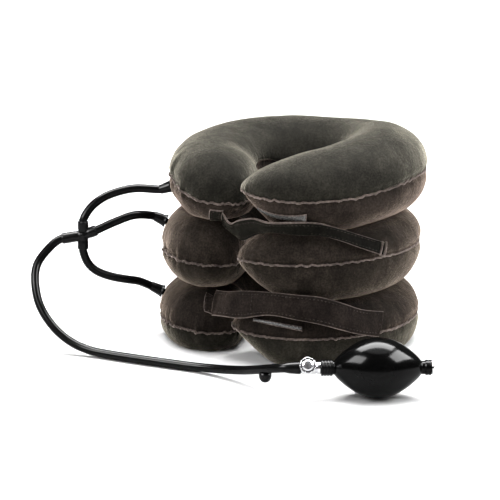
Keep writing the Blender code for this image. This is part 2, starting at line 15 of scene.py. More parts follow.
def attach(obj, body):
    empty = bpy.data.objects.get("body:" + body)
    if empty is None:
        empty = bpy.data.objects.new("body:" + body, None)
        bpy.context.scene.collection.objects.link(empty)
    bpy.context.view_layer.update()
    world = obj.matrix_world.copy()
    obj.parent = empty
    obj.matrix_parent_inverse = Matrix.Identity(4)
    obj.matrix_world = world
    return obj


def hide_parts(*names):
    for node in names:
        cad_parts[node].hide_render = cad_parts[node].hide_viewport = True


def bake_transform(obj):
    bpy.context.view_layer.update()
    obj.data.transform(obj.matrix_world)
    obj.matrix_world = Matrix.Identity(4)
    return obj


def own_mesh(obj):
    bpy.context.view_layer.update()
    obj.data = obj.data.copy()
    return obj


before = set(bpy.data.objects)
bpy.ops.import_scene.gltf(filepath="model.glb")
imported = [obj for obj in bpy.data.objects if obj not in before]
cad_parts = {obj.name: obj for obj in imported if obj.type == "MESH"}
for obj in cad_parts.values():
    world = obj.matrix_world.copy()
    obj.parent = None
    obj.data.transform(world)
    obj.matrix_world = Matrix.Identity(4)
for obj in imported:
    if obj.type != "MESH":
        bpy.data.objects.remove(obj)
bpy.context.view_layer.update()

# ---------------------------------------------------------------- the collar's own frame
COLLAR = (-37.429, 27.923)
MM = 0.001


def mm(v):
    """A point of the collar's frame, in metres in the row frame."""
    return Vector(((v[0] + COLLAR[0]) * MM, (v[1] + COLLAR[1]) * MM, v[2] * MM))


def collar_mm(v):
    """A point in metres in the row frame, as millimetres in the collar's frame."""
    return Vector((v.x / MM - COLLAR[0], v.y / MM - COLLAR[1], v.z / MM))


def link(name, data):
    """New object in the scene that shows this data."""
    ob = bpy.data.objects.new(name, data)
    bpy.context.scene.collection.objects.link(ob)
    return ob


def aim_along(ob, direction):
    """Turn a camera or a light to look along a direction."""
    ob.rotation_mode = "QUATERNION"
    ob.rotation_quaternion = Vector(direction).to_track_quat("-Z", "Y")


def bearing(azimuth, elevation):
    """Direction towards a place that many degrees right of the collar's front and above the floor."""
    az, el = math.radians(azimuth), math.radians(elevation)
    return Vector((math.sin(az) * math.cos(el), -math.cos(az) * math.cos(el), math.sin(el)))


# ---------------------------------------------------------------- camera
CAM_AZIMUTH, CAM_ELEVATION = 32.0, 13.5
CAM_DISTANCE = 2000.0
CAM_TARGET = (0.0, 0.0, 87.0)
CAM_FOCAL = 161.57
CAM_RIGHT, CAM_UP = -40.1, 8.9        # how far the picture's centre lies from the target


def add_camera():
    back = bearing(CAM_AZIMUTH, CAM_ELEVATION)
    right = bearing(CAM_AZIMUTH + 90, 0)
    up = right.cross(-back)
    place = mm(Vector(CAM_TARGET) + back * CAM_DISTANCE)
    look = mm(Vector(CAM_TARGET) + right * CAM_RIGHT - up * CAM_UP)
    data = bpy.data.cameras.new("camera")
    data.lens = CAM_FOCAL
    data.sensor_width = 36
    data.clip_start, data.clip_end = 0.05, 50
    cam = link("camera", data)
    cam.location = place
    aim_along(cam, look - place)
    bpy.context.scene.camera = cam


add_camera()

# ---------------------------------------------------------------- tier surface, as in the part
COVER_T, TIER_GAP, CURVE_N = 0.8, 0.5, 2.08
TIERS = {
    "bottom": dict(width=232.0, depth=226.0, half=38.0, cx=-6.0, lo=0.0, hi=54.5, seam=26.0,
                   side=-6.0, up=33.0, down=36.0, lean=(0.0, 0.0, 0.0), end=3.5, tuck=(0.5, 1.5)),
    "middle": dict(width=229.0, depth=226.0, half=38.0, cx=-4.0, lo=54.5, hi=117.5, seam=87.5,
                   side=-2.0, up=35.0, down=36.0, lean=(0.0, 0.0, 0.0), end=1.0, tuck=(0.5, 0.8)),
    "top": dict(width=225.0, depth=224.0, half=38.0, cx=3.0, lo=117.5, hi=400.0, seam=143.0,
                side=11.0, up=37.8, down=38.0, lean=(4.0, 6.0, -5.0), end=3.5, tuck=(0.8, 1.3),
                blunt=0.5),
}

# how far each tier's seam strays from its even run, as (mm along from its left tip, or back from
# its right tip, and mm up), while the tops and undersides of the tiers stay where they are
DRIFT = {
    "bottom": ([(0, -8), (25, -4), (60, -2), (95, 5), (150, 0)],
               [(0, 2), (50, 3.3), (100, 5), (170, 4), (240, 0)]),
    "middle": ([(0, -8), (20, -6), (50, -4.5), (95, -1), (150, 0)],
               [(0, 0.5), (20, 3.5), (50, 4.7), (100, 6.5), (170, 4.5), (240, 0)]),
    "top": ([(0, -10), (20, -9), (50, -3), (90, 3), (150, 0)],
            [(0, 7), (20, 4.5), (50, -1), (80, -3.5), (110, -1), (140, 2), (180, 3), (240, 0)]),
}
SPLIT_LEFT, TIP_LEFT, TIP_RIGHT, CURL, LEAN_R = 8.0, 36.0, 60.0, 6.0, 75.0


def centre_line(t):
    a, b = t["width"] / 2 - t["half"], t["depth"] / 2 - t["half"]
    th = np.linspace(math.radians(SPLIT_LEFT), 2 * math.pi + math.radians(t["end"]), 1201)
    sx, cy = -np.sin(th), -np.cos(th)
    x = np.sign(sx) * np.abs(sx) ** (2 / CURVE_N) * a
    y = np.sign(cy) * np.abs(cy) ** (2 / CURVE_N) * b
    s = np.concatenate([[0.0], np.cumsum(np.hypot(np.diff(x), np.diff(y)))])
    pull = CURL * (np.clip(1 - s / 70, 0, 1) ** 2 - 0.6 * np.clip(1 - (s[-1] - s) / 80, 0, 1) ** 2)
    k = 1 - pull / np.hypot(x, y)
    x, y = x * k, y * k
    s = np.concatenate([[0.0], np.cumsum(np.hypot(np.diff(x), np.diff(y)))])
    return s, x + t["cx"], y, th


LINES = {name: centre_line(t) for name, t in TIERS.items()}


def tier_length(name):
    return float(LINES[name][0][-1])


def station(name, s):
    """Centre point, outward normal, seam height, and rise above and drop below it at arc length s."""
    t = TIERS[name]
    ss, xs, ys, th = LINES[name]
    x, y = float(np.interp(s, ss, xs)), float(np.interp(s, ss, ys))
    lo, hi = max(s - 1, 0), min(s + 1, ss[-1])
    dx = float(np.interp(hi, ss, xs) - np.interp(lo, ss, xs))
    dy = float(np.interp(hi, ss, ys) - np.interp(lo, ss, ys))
    n = math.hypot(dx, dy)
    nx, ny = -dy / n, dx / n
    if nx * (x - t["cx"]) + ny * y < 0:
        nx, ny = -nx, -ny
    flank = abs(math.sin(float(np.interp(s, ss, th)))) ** 1.5
    lean_right, lean_back, lean_sides = t["lean"]
    up = t["up"] + lean_right * (x - t["cx"]) / LEAN_R + lean_back * y / LEAN_R + lean_sides * flank
    left, right = DRIFT[name]
    drift = float(np.interp(s, *zip(*left)) + np.interp(ss[-1] - s, *zip(*right)))
    return x, y, nx, ny, t["seam"] + t["side"] * flank + drift, up - drift, t["down"] + drift


def tip_factors(name, s, inset):
    """Shares of the full width, rise and drop at arc length s, all falling to 0 at either tip."""
    dl, dr = s - inset, tier_length(name) - s - inset
    if dl < TIP_LEFT:
        f = max(0.0, 1 - (1 - max(dl, 0) / TIP_LEFT) ** 2)
        return f ** 0.5, f ** 0.4, f ** TIERS[name]["tuck"][0]
    if dr < TIP_RIGHT:
        f = max(0.0, 1 - (1 - max(dr, 0) / TIP_RIGHT) ** 2)
        return f ** 0.57, f ** TIERS[name].get("blunt", 0.7), f ** TIERS[name]["tuck"][1]
    return 1.0, 1.0, 1.0


def tier_point(name, s, phi, out=0.0):
    """Skin point at arc length s and section angle phi, moved out mm beyond the CAD skin."""
    t = TIERS[name]
    x, y, nx, ny, seam, up, down = station(name, s)
    wide, rising, falling = tip_factors(name, s, -out)
    c, sn = math.cos(math.radians(phi)), math.sin(math.radians(phi))
    r = (t["half"] + out) * wide * c
    if sn >= 0:
        z = seam + (up + out) * rising * sn ** 0.85
    else:
        z = seam - (down + out) * falling * abs(sn) ** (0.85 + 0.9 * (1 - falling))
    low = t["lo"] + (TIER_GAP if t["lo"] > 0 else 0.0) - out
    z = min(max(z, low), t["hi"] - TIER_GAP + out)
    return Vector((x + nx * r, y + ny * r, z))


# ---------------------------------------------------------------- materials
def material(name):
    """New material, with its node tree, its shader and its object coordinates."""
    mat = bpy.data.materials.new(name)
    mat.use_nodes = True
    tree = mat.node_tree
    return mat, tree, tree.nodes["Principled BSDF"], tree.nodes.new("ShaderNodeTexCoord").outputs["Object"]


def put(node, values):
    for key, value in values.items():
        node.inputs[key].default_value = value


def times(colour, share):
    return tuple(c * share for c in colour)


def ramp(tree, source, low, high):
    """Source as a colour between two (place, colour) stops, where a single number is a grey."""
    node = tree.nodes.new("ShaderNodeValToRGB")
    for stop, (place, colour) in zip(node.color_ramp.elements, (low, high)):
        stop.position = place
        stop.color = (*(colour if isinstance(colour, tuple) else (colour,) * 3), 1)
    tree.links.new(source, node.inputs[0])
    return node.outputs[0]


def noise_fac(tree, coord, scale, detail, rough, stretch=None):
    """Noise over the surface, drawn out along an axis whose stretch is under 1."""
    node = tree.nodes.new("ShaderNodeTexNoise")
    put(node, {"Scale": scale, "Detail": detail, "Roughness": rough})
    if stretch:
        mapping = tree.nodes.new("ShaderNodeMapping")
        put(mapping, {"Scale": stretch})
        tree.links.new(coord, mapping.inputs["Vector"])
        coord = mapping.outputs["Vector"]
    tree.links.new(coord, node.inputs["Vector"])
    return node.outputs["Fac"]


def multiply(tree, share, a, b):
    node = tree.nodes.new("ShaderNodeMix")
    node.data_type = "RGBA"
    node.blend_type = "MULTIPLY"
    node.inputs[0].default_value = share
    tree.links.new(a, node.inputs[6])
    tree.links.new(b, node.inputs[7])
    return node.outputs[2]


def bump(tree, height, strength, distance, under=None):
    node = tree.nodes.new("ShaderNodeBump")
    put(node, {"Strength": strength, "Distance": distance})
    tree.links.new(height, node.inputs["Height"])
    if under:
        tree.links.new(under, node.inputs["Normal"])
    return node.outputs["Normal"]


def vary_roughness(tree, source, bsdf, low, high):
    node = tree.nodes.new("ShaderNodeMapRange")
    put(node, {"To Min": low, "To Max": high})
    tree.links.new(source, node.inputs["Value"])
    tree.links.new(node.outputs["Result"], bsdf.inputs["Roughness"])


def velour(name, dark, light, pile, sheen=1.0):
    """Flocked velour: a dark ground under a pile that shines where it is brushed or seen edge-on."""
    mat, tree, bsdf, coord = material(name)
    nap = noise_fac(tree, coord, 30, 5, 0.65)
    smear = noise_fac(tree, coord, 85, 5, 0.7, (1, 1, 0.4))
    speck = noise_fac(tree, coord, 620, 3, 0.7)
    grain = noise_fac(tree, coord, 2600, 2, 0.7)
    brushed = ramp(tree, smear, (0.36, 0.72), (0.66, 1.25))
    wear = multiply(tree, 0.85, brushed, ramp(tree, speck, (0.38, 0.52), (0.62, 1.5)))
    ground = ramp(tree, nap, (0.36, dark), (0.66, light))
    hair = ramp(tree, nap, (0.34, times(pile, 0.84)), (0.66, pile))
    tree.links.new(multiply(tree, 0.8, ground, wear), bsdf.inputs["Base Color"])
    tree.links.new(multiply(tree, 0.8, hair, wear), bsdf.inputs["Sheen Tint"])
    put(bsdf, {"Roughness": 0.95, "Specular IOR Level": 0.02, "Sheen Weight": sheen, "Sheen Roughness": 0.3})
    folds = bump(tree, smear, 0.4, 0.0015)
    tree.links.new(bump(tree, grain, 0.55, 0.00035, folds), bsdf.inputs["Normal"])
    return mat


def hook_tape(name, base):
    """Hook tape: rows of tiny hooks over a woven backing."""
    mat, tree, bsdf, coord = material(name)
    hooks = tree.nodes.new("ShaderNodeTexVoronoi")
    put(hooks, {"Scale": 900.0, "Randomness": 0.55})
    tree.links.new(coord, hooks.inputs["Vector"])
    shade = ramp(tree, hooks.outputs["Distance"], (0.08, times(base, 4.5)), (0.5, times(base, 0.4)))
    tree.links.new(shade, bsdf.inputs["Base Color"])
    put(bsdf, {"Roughness": 0.6})
    tree.links.new(bump(tree, hooks.outputs["Distance"], 0.8, 0.0006), bsdf.inputs["Normal"])
    return mat


def rubber(name, base, rough, shine, mottling=0.12, grain=0.12):
    """Moulded or extruded black rubber with slight bloom and handling marks."""
    mat, tree, bsdf, coord = material(name)
    haze = noise_fac(tree, coord, 45, 4, 0.6)
    fine = noise_fac(tree, coord, 1400, 2, 0.6)
    tree.links.new(ramp(tree, haze, (0.35, base), (0.75, times(base, 1.6))), bsdf.inputs["Base Color"])
    vary_roughness(tree, haze, bsdf, max(0.02, rough - mottling / 2), rough + mottling)
    put(bsdf, {"Specular IOR Level": shine})
    tree.links.new(bump(tree, fine, grain, 0.0001), bsdf.inputs["Normal"])
    return mat


def chrome(name, base, rough=0.1, brushed=0.0):
    """Plated metal with faint spots, and fine lines where it is brushed."""
    mat, tree, bsdf, coord = material(name)
    spots = noise_fac(tree, coord, 220, 4, 0.65)
    tree.links.new(ramp(tree, spots, (0.3, times(base, 0.86)), (0.7, base)), bsdf.inputs["Base Color"])
    put(bsdf, {"Metallic": 1.0})
    vary_roughness(tree, spots, bsdf, rough * 0.6, rough * 1.8)
    if brushed:
        lines = noise_fac(tree, coord, 900, 2, 0.5, (1, 1, 0.05))
        tree.links.new(bump(tree, lines, brushed, 0.00005), bsdf.inputs["Normal"])
    return mat


# a velour is its ground where the nap is dark and light, its pile's tint, and its sheen
# each tier's upper and lower covers get a velour of their own, tuned to how light or dark that half looks
# where it lies: their differences are partly the cloth's own hue and partly painted light and shade
UPPER = {
    "top": velour("velour_olive", (0.0085, 0.0080, 0.0061), (0.022, 0.0204, 0.0161), (0.96, 0.893, 0.725)),
    "middle": velour("velour_umber", (0.0105, 0.0082, 0.0063), (0.028, 0.0218, 0.0172), (1.0, 0.79, 0.64)),
    "bottom": velour("velour_taupe", (0.0070, 0.0054, 0.0043), (0.018, 0.0138, 0.0111), (0.78, 0.61, 0.49)),
}
LOWER = {
    "top": velour("velour_brown", (0.0105, 0.0080, 0.0064), (0.026, 0.0200, 0.0162), (1.0, 0.775, 0.635)),
    "middle": velour("velour_moss", (0.0092, 0.0074, 0.0057), (0.0235, 0.019, 0.0148), (1.0, 0.81, 0.65)),
    "bottom": velour("velour_stone", (0.0090, 0.0081, 0.0062), (0.0225, 0.0203, 0.0157), (0.95, 0.86, 0.68)),
}
STRAP = velour("velour_strap", (0.0072, 0.0054, 0.0044), (0.0185, 0.0140, 0.0117), (0.85, 0.64, 0.53), 0.8)
# the top strap and its root tab use the strap velour made much darker: painted shade for where they hang
# under the top tier's bulge
SHADED_STRAP = velour("velour_strap_painted_shade", (0.0036, 0.0034, 0.0026), (0.0090, 0.0084, 0.0066),
                    (0.28, 0.26, 0.205), 0.5)
EDGE = velour("seam_edge", (0.060, 0.0480, 0.0425), (0.150, 0.120, 0.106), (1.0, 0.82, 0.73), 0.9)
THREAD = velour("stitch_thread", (0.022, 0.018, 0.0155), (0.05, 0.041, 0.036), (0.7, 0.58, 0.51), 0.4)
HOOK = hook_tape("hook_tape", (0.035, 0.033, 0.030))
HOSE = rubber("hose_rubber", (0.0022,) * 3, 0.16, 0.05)
FITTING = rubber("fitting_rubber", (0.0022,) * 3, 0.2, 0.07, 0.12, 0.2)
BULB = rubber("bulb_rubber", (0.0012,) * 3, 0.13, 0.05, 0.06, 0.04)
BLADDER = rubber("bladder_rubber", (0.02, 0.02, 0.022), 0.6, 0.4, 0.2, 0.3)
CHROME = chrome("chrome_plate", (0.5, 0.5, 0.51))
WHEEL = chrome("chrome_wheel", (0.42, 0.42, 0.43), 0.2)
CHROME_DULL = chrome("chrome_brushed", (0.62, 0.62, 0.63), 0.22, 0.3)


# ---------------------------------------------------------------- making and placing pieces
def add_mesh(name, verts, faces, mat):
    """Smooth-shaded piece from points in the collar's millimetres."""
    me = bpy.data.meshes.new(name)
    me.from_pydata([tuple(mm(v)) for v in verts], [], faces)
    me.update()
    me.shade_smooth()
    me.materials.append(mat)
    return link(name, me)


def quads(rows, cols, base=0, closed=True, looped=False):
    """Faces of a grid of points, whose last column joins its first if closed, and last row if looped."""
    out = []
    for i in range(rows if looped else rows - 1):
        a, b = base + i * cols, base + (i + 1) % rows * cols
        for j in range(cols if closed else cols - 1):
            k = (j + 1) % cols
            out.append((a + j, a + k, b + k, b + j))
    return out


def flipped(faces):
    """The same faces turned over, each from the same first corner."""
    return [(f[0], *f[:0:-1]) for f in faces]


def face_outward(ob):
    bm = bmesh.new()
    bm.from_mesh(ob.data)
    bmesh.ops.recalc_face_normals(bm, faces=bm.faces)
    bm.to_mesh(ob.data)
    bm.free()


def apply_all(ob):
    """Turn an object's modifiers into plain mesh."""
    shape = ob.evaluated_get(bpy.context.evaluated_depsgraph_get())
    me = bpy.data.meshes.new_from_object(shape)
    ob.modifiers.clear()
    old = ob.data
    ob.data = me
    bpy.data.meshes.remove(old)


def stand_in(ob, node, body=None):
    """Let a piece stand for a CAD node, whose own mesh it hides, and ride on a body if one is given."""
    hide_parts(node)
    if body:
        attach(ob, body)
    return ob


# the CAD body that each tier's pieces ride on
BODY = {"bottom": "base", "middle": "middle_tier", "top": "top_tier"}


def flatten_with(ob, tier, body=None):
    """Ride on a tier's body, or on a body of its own, with a mesh of its own."""
    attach(ob, body or BODY[tier])
    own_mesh(ob)


# ---------------------------------------------------------------- cords
HOSE_R = 3.8
PORT_HALF = 4.5
PORTS = {"bottom": (24.0, 1), "middle": (26.0, 1), "top": (21.0, -1)}
PORT_ANGLE = 61.0
CROSS = Vector((-152, -111, 94))
ARMS = {"up": Vector((0.0, 0.02, 1)).normalized(), "down": Vector((0, -0.05, -1)).normalized(),
        "right": Vector((0.78, 0.52, 0.35)).normalized(), "left": Vector((-0.82, -0.55, -0.17)).normalized()}
ARM_LEN = {"up": 12.5, "down": 12.5, "right": 12.5, "left": 19.0}
VALVE_DIR = Vector((0.83, 0.557, 0.0)).normalized()
BULB_C = Vector((157.0, -123.0, 25.5))
VALVE_O = BULB_C - VALVE_DIR * 57.5


def port_axis(tier):
    """Centre and axis of a tier's hose port, as in the part."""
    pc, sign = PORTS[tier]
    ss, _, _, th = LINES[tier]
    s = float(np.interp(math.radians(PORT_ANGLE), th, ss))
    q = [tier_point(tier, s + ds, sign * (pc + da))
         for ds, da in ((-PORT_HALF, -6), (PORT_HALF, -6), (PORT_HALF, 6), (-PORT_HALF, 6))]
    c = sum(q, Vector()) / 4
    n = (q[2] - q[0]).cross(q[3] - q[1]).normalized()
    _, _, nx, ny, _, _, _ = station(tier, s)
    if n.dot(Vector((nx, ny, 0))) < 0:
        n = -n
    flat = Vector((n.x, n.y, 0)).normalized()
    return c, (n * 0.9 + flat * 0.1).normalized()


PORT = {tier: port_axis(tier) for tier in TIERS}


def port_run(tier, d):
    return PORT[tier][0] + PORT[tier][1] * d


def arm_run(key, d):
    return CROSS + ARMS[key] * d


ROUTES = {
    "top_hose": [port_run("top", 4.0), port_run("top", 12.5), (-121, -72, 133), (-132, -83, 131),
                 (-142, -94, 126), (-149, -103, 118), arm_run("up", 13.5), arm_run("up", 6)],
    "middle_hose": [port_run("middle", 4.0), port_run("middle", 12.5), (-119, -78, 110), (-131, -91, 105),
                    arm_run("right", 13.5), arm_run("right", 6)],
    "bottom_hose": [arm_run("down", 6), arm_run("down", 13.5), (-149, -109, 69), (-143, -104, 61),
                    (-134, -94, 55), (-125, -82, 51), (-120, -72, 48), port_run("bottom", 12.5),
                    port_run("bottom", 4.0)],
    "main_hose": [arm_run("left", 7), arm_run("left", 20), (-174, -131, 84), (-178, -144, 71),
                  (-173, -154, 56), (-163, -160, 38), (-147, -162, 22), (-130, -160, 11),
                  (-112, -157, 5.5), (-91, -155, 4.4), (-52, -151, 4.4), (-15, -146, 4.4),
                  (5, -145, 5.5), (25, -147, 8), (45, -152, 12), (63, -158, 17), (80, -163, 22),
                  VALVE_O - VALVE_DIR * 16.5, VALVE_O - VALVE_DIR * 7.2],
}


def distances(points):
    """Running length along a line at each of its points."""
    run = [0.0]
    for a, b in zip(points, points[1:]):
        run.append(run[-1] + (b - a).length)
    return run


def place_at(points, run, d):
    """Point at distance d along a line with those running lengths."""
    return Vector([float(np.interp(d, run, [p[k] for p in points])) for k in range(3)])


def smooth_line(points, step, inner=False):
    """Catmull-Rom line through given points at an even step, its end runs left out if inner."""
    pts = [Vector(p) for p in points]
    ext = pts if inner else [2 * pts[0] - pts[1]] + pts + [2 * pts[-1] - pts[-2]]
    dense = []
    for i in range(1, len(ext) - 2):
        p0, p1, p2, p3 = ext[i - 1:i + 3]
        for k in range(12):
            u = k / 12
            dense.append(0.5 * ((2 * p1) + (p2 - p0) * u + (2 * p0 - 5 * p1 + 4 * p2 - p3) * u * u
                                + (3 * p1 - p0 - 3 * p2 + p3) * u ** 3))
    dense.append(ext[-2])
    run = distances(dense)
    n = max(2, int(round(run[-1] / step)))
    return [place_at(dense, run, run[-1] * i / n) for i in range(n + 1)]


def sweep(name, line, radius, mat, sides=20):
    """Closed round tube along a line of points, with its frame carried along without twist."""
    verts = []
    n = len(line)
    normal = None
    for i, p in enumerate(line):
        t = (line[min(i + 1, n - 1)] - line[max(i - 1, 0)]).normalized()
        if normal is None:
            normal = t.orthogonal().normalized()
        normal = (normal - t * normal.dot(t)).normalized()
        side = t.cross(normal)
        for k in range(sides):
            a = 2 * math.pi * k / sides
            verts.append(p + (normal * math.cos(a) + side * math.sin(a)) * radius)
    caps = [tuple(reversed(range(sides))), tuple(range((n - 1) * sides, n * sides))]
    return add_mesh(name, verts, quads(n, sides) + caps, mat)


def frame_at(origin, xdir):
    """Matrix whose X runs along xdir, in the collar's millimetres."""
    x = Vector(xdir).normalized()
    up = Vector((0, 0, 1)) if abs(x.z) <= 0.95 else Vector((0, 1, 0))
    y = up.cross(x).normalized()
    m = Matrix((x, y, x.cross(y))).transposed().to_4x4()
    m.translation = Vector(origin)
    return m


ON_AXIS = 1e-6                         # a profile point with a smaller radius lies on the axis


def revolve(name, frame_m, profile, mat, seg=48):
    """Closed body turned from a closed profile of (x, r) points about the frame's X axis."""
    bm = bmesh.new()
    turn = [2 * math.pi * k / seg for k in range(seg)]
    rings = []
    for x, r in profile:
        if r < ON_AXIS:
            rings.append([bm.verts.new(mm(frame_m @ Vector((x, 0, 0))))] * seg)
            continue
        ring = [Vector((x, r * math.cos(a), r * math.sin(a))) for a in turn]
        rings.append([bm.verts.new(mm(frame_m @ q)) for q in ring])
    for i, a in enumerate(rings):
        b = rings[(i + 1) % len(rings)]
        if a[0] is a[1] and b[0] is b[1]:
            continue
        for k in range(seg):
            j = (k + 1) % seg
            corners = []
            for v in (a[k], b[k], b[j], a[j]):
                if v not in corners:
                    corners.append(v)
            bm.faces.new(corners)
    bmesh.ops.recalc_face_normals(bm, faces=bm.faces)
    me = bpy.data.meshes.new(name)
    bm.to_mesh(me)
    bm.free()
    me.shade_smooth()
    me.materials.append(mat)
    return link(name, me)


def rounded(profile, radius=0.35, steps=3):
    """Profile with every corner turned into a small arc, so that edges catch the light."""
    out = []
    n = len(profile)
    for i, (x, r) in enumerate(profile):
        if r < ON_AXIS:
            out.append((x, r))
            continue
        p = Vector((x, r))
        a, b = Vector(profile[i - 1]), Vector(profile[(i + 1) % n])
        cut = min(radius, (a - p).length * 0.45, (b - p).length * 0.45)
        start, end = p + (a - p).normalized() * cut, p + (b - p).normalized() * cut
        for k in range(steps + 1):
            u = k / steps
            q = start * (1 - u) ** 2 + p * 2 * u * (1 - u) + end * u * u
            out.append((q.x, q.y))
    return out


def union(name, parts, mat):
    """One plain mesh from several closed ones."""
    base = parts[0]
    for other in parts[1:]:
        mod = base.modifiers.new("join", "BOOLEAN")
        mod.operation = "UNION"
        mod.solver = "EXACT"
        mod.object = other
    apply_all(base)
    for other in parts[1:]:
        bpy.data.objects.remove(other, do_unlink=True)
    base.name = base.data.name = name
    base.data.shade_smooth()
    base.data.materials.clear()
    base.data.materials.append(mat)
    return base


HUB_R = 5.3


def connector():
    """Four-way moulded piece whose arms flare into beaded cups round the hoses."""
    parts = []
    for key, length in ARM_LEN.items():
        cup = [(-1.0, 0), (-1.0, 4.6), (5.0, 4.6), (6.4, 4.9), (length - 1.2, 4.9), (length, 4.55),
               (length, 4.1), (length - 6.0, 4.1), (length - 6.0, 0)]
        parts.append(revolve("arm_" + key, frame_at(CROSS, ARMS[key]), rounded(cup, 0.4), FITTING, 32))
    ball = [(HUB_R * math.cos(a), HUB_R * math.sin(a)) for a in np.linspace(math.pi, 0, 17)]
    ball[0], ball[-1] = (-HUB_R, 0), (HUB_R, 0)
    parts.append(revolve("hub", frame_at(CROSS, (0.3, -0.2, 1)), ball, FITTING, 32))
    return union("moulded_connector", parts, FITTING)


CONNECTOR = stand_in(connector(), "four_way_connector", "middle_tier")


def lay_hose(name):
    """Hose swept along its route, standing in for the CAD hose of that name."""
    pts = ROUTES[name]
    line = [Vector(pts[0])] + smooth_line(pts, 3.0, True) + [Vector(pts[-1])]
    ob = stand_in(sweep("flex_" + name, line, HOSE_R, HOSE), name)
    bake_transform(ob)


STUB_BASE = Vector((72.0, -160.6, 8.3))
STUB_PROFILE = [(0, 0), (0.1, 1.5), (0.7, 2.9), (1.8, 4.0), (3.6, 4.9), (5.6, 5.3), (7.4, 5.2), (8.6, 4.4),
                (8.6, 0)]
STUB = revolve("hose_side_stub", frame_at(STUB_BASE, (0, 0, 1)), rounded(STUB_PROFILE, 0.5), FITTING, 28)
stand_in(STUB, "hose_stub", "base")

lay_hose("top_hose")
lay_hose("middle_hose")
lay_hose("bottom_hose")
lay_hose("main_hose")


# ---------------------------------------------------------------- padded tiers
HALF_ANGLES = [0, 4, 9, 15, 22, 30, 39, 49, 60, 73, 90, 107, 120, 131, 141, 151, 161, 171, 180]
CELL = 4.0                             # mesh cell along a tier before it is subdivided
SWELL_START = 0.2                      # the cloth starts this far inside the CAD skin
SWELL_CAP = 1.8                        # and no point may move further than this
CLOTH_FRAMES = 20
COVER_LIMIT = 0.25                     # covers stay this far inside their tier's planes


def tip_steps(radius, span, power):
    """Arc lengths from a tip that step the section's radius evenly until they reach CELL."""
    steps = [0.0]
    for k in range(1, 40):
        s = span * (3.0 * k / radius) ** power
        if s - steps[-1] > CELL:
            break
        steps.append(s)
    return steps


def stations(tier):
    half = TIERS[tier]["half"]
    left = [SWELL_START + s for s in tip_steps(half, TIP_LEFT / 2, 2.0)]
    right = [SWELL_START + s for s in tip_steps(half, TIP_RIGHT / 2, 1.74)]
    length = tier_length(tier)
    inner = np.linspace(left[-1], length - right[-1], int((length - left[-1] - right[-1]) / CELL) + 1)
    return left + [float(s) for s in inner[1:-1]] + [length - s for s in reversed(right)]


def ring_angles():
    return HALF_ANGLES + [-a for a in reversed(HALF_ANGLES[1:-1])]


def capped_faces(rows, cols, closed=True):
    """Faces of a skin of rows of points whose first and last rows are single points."""
    last = 1 + (rows - 2) * cols
    faces = []
    for j in range(cols if closed else cols - 1):
        k = (j + 1) % cols
        faces += [(0, 1 + k, 1 + j), (last, last - cols + j, last - cols + k)]
    return faces + quads(rows - 2, cols, 1, closed)


def inflate(verts, faces, seam, beside):
    """Blow a closed skin up under pressure while its seam pulls tight, and return its points."""
    me = bpy.data.meshes.new("inflate")
    me.from_pydata([tuple(mm(v)) for v in verts], [], faces)
    me.update()
    ob = link("inflate", me)
    group = ob.vertex_groups.new(name="seam")
    group.add(beside, 0.45, "REPLACE")
    group.add(seam, 1.0, "REPLACE")
    mod = ob.modifiers.new("cloth", "CLOTH")
    cloth = mod.settings
    cloth.quality = 6
    cloth.mass = 0.2
    cloth.tension_stiffness = cloth.compression_stiffness = 15
    cloth.shear_stiffness = 5
    cloth.bending_stiffness = 0.4
    cloth.use_pressure = True
    cloth.uniform_pressure_force = 4.0
    cloth.vertex_group_shrink = "seam"
    cloth.shrink_min = -0.03
    cloth.shrink_max = 0.02
    cloth.effector_weights.gravity = 0.0
    mod.collision_settings.use_collision = False
    mod.point_cache.frame_start, mod.point_cache.frame_end = 1, CLOTH_FRAMES
    scene = bpy.context.scene
    for frame_no in range(1, CLOTH_FRAMES + 1):
        scene.frame_set(frame_no)
    shape = ob.evaluated_get(bpy.context.evaluated_depsgraph_get()).data
    points = [collar_mm(v.co) for v in shape.vertices]
    bpy.data.objects.remove(ob, do_unlink=True)
    scene.frame_set(1)
    return points


def settled_rows(tier):
    """Arc lengths and rows of skin points of one tier once it is blown up, its tips as whole rings."""
    angles = ring_angles()
    s_list = stations(tier)
    rows = [[tier_point(tier, s, a, -SWELL_START) for a in angles] for s in s_list]
    verts = [rows[0][0]] + [p for row in rows[1:-1] for p in row] + [rows[-1][0]]
    n, m = len(angles), len(rows)
    half = len(HALF_ANGLES) - 1
    seam = [0, len(verts) - 1] + [1 + i * n + j for i in range(m - 2) for j in (0, half)]
    beside = [1 + i * n + j for i in range(m - 2) for j in (1, n - 1, half - 1, half + 1)]
    moved = inflate(verts, capped_faces(m, n), seam, beside)
    held = [p + (q - p) * (SWELL_CAP / (SWELL_CAP + (q - p).length)) for p, q in zip(verts, moved)]
    rings = [held[1 + i * n:1 + (i + 1) * n] for i in range(m - 2)]
    return s_list, [[held[0]] * n] + rings + [[held[-1]] * n]


# how strongly the cloth puckers at the seam, as (arc length from the left tip, strength)
PUCKER = {
    "top": [(0, 3.2), (60, 4.0), (110, 2.2), (150, 0.7), (330, 0.6), (400, 1.1), (445, 1.3), (520, 1.5)],
    "middle": [(0, 3.4), (60, 4.2), (110, 2.2), (150, 0.8), (330, 0.6), (400, 0.8), (445, 1.1), (520, 1.4)],
    "bottom": [(0, 2.8), (60, 3.6), (110, 2.0), (150, 0.8), (330, 0.6), (400, 0.9), (445, 1.1), (520, 1.4)],
}
TIER_SEED = {"bottom": 11.0, "middle": 37.0, "top": 71.0}
INNER_SHARE, LOWER_SHARE = 0.3, 0.7    # of the puckers' strength, facing the neck and below the seam
REACH, INNER_REACH = 9.0, 5.0          # mm that puckers run out from the seam, at most 5 at the neck
LONG_FOLD, SHORT_FOLD = 4.6, 2.4       # mm between folds
PINCH, PINCH_REACH = 0.5, 3.0          # how deep the seam draws the skin in, and how far beside it
FOLD_DIP = -0.12                       # no fold goes deeper than this


def hum(x, y, z):
    """Smooth noise at a place, between -1 and 1."""
    return noise.noise(Vector((x, y, z)))


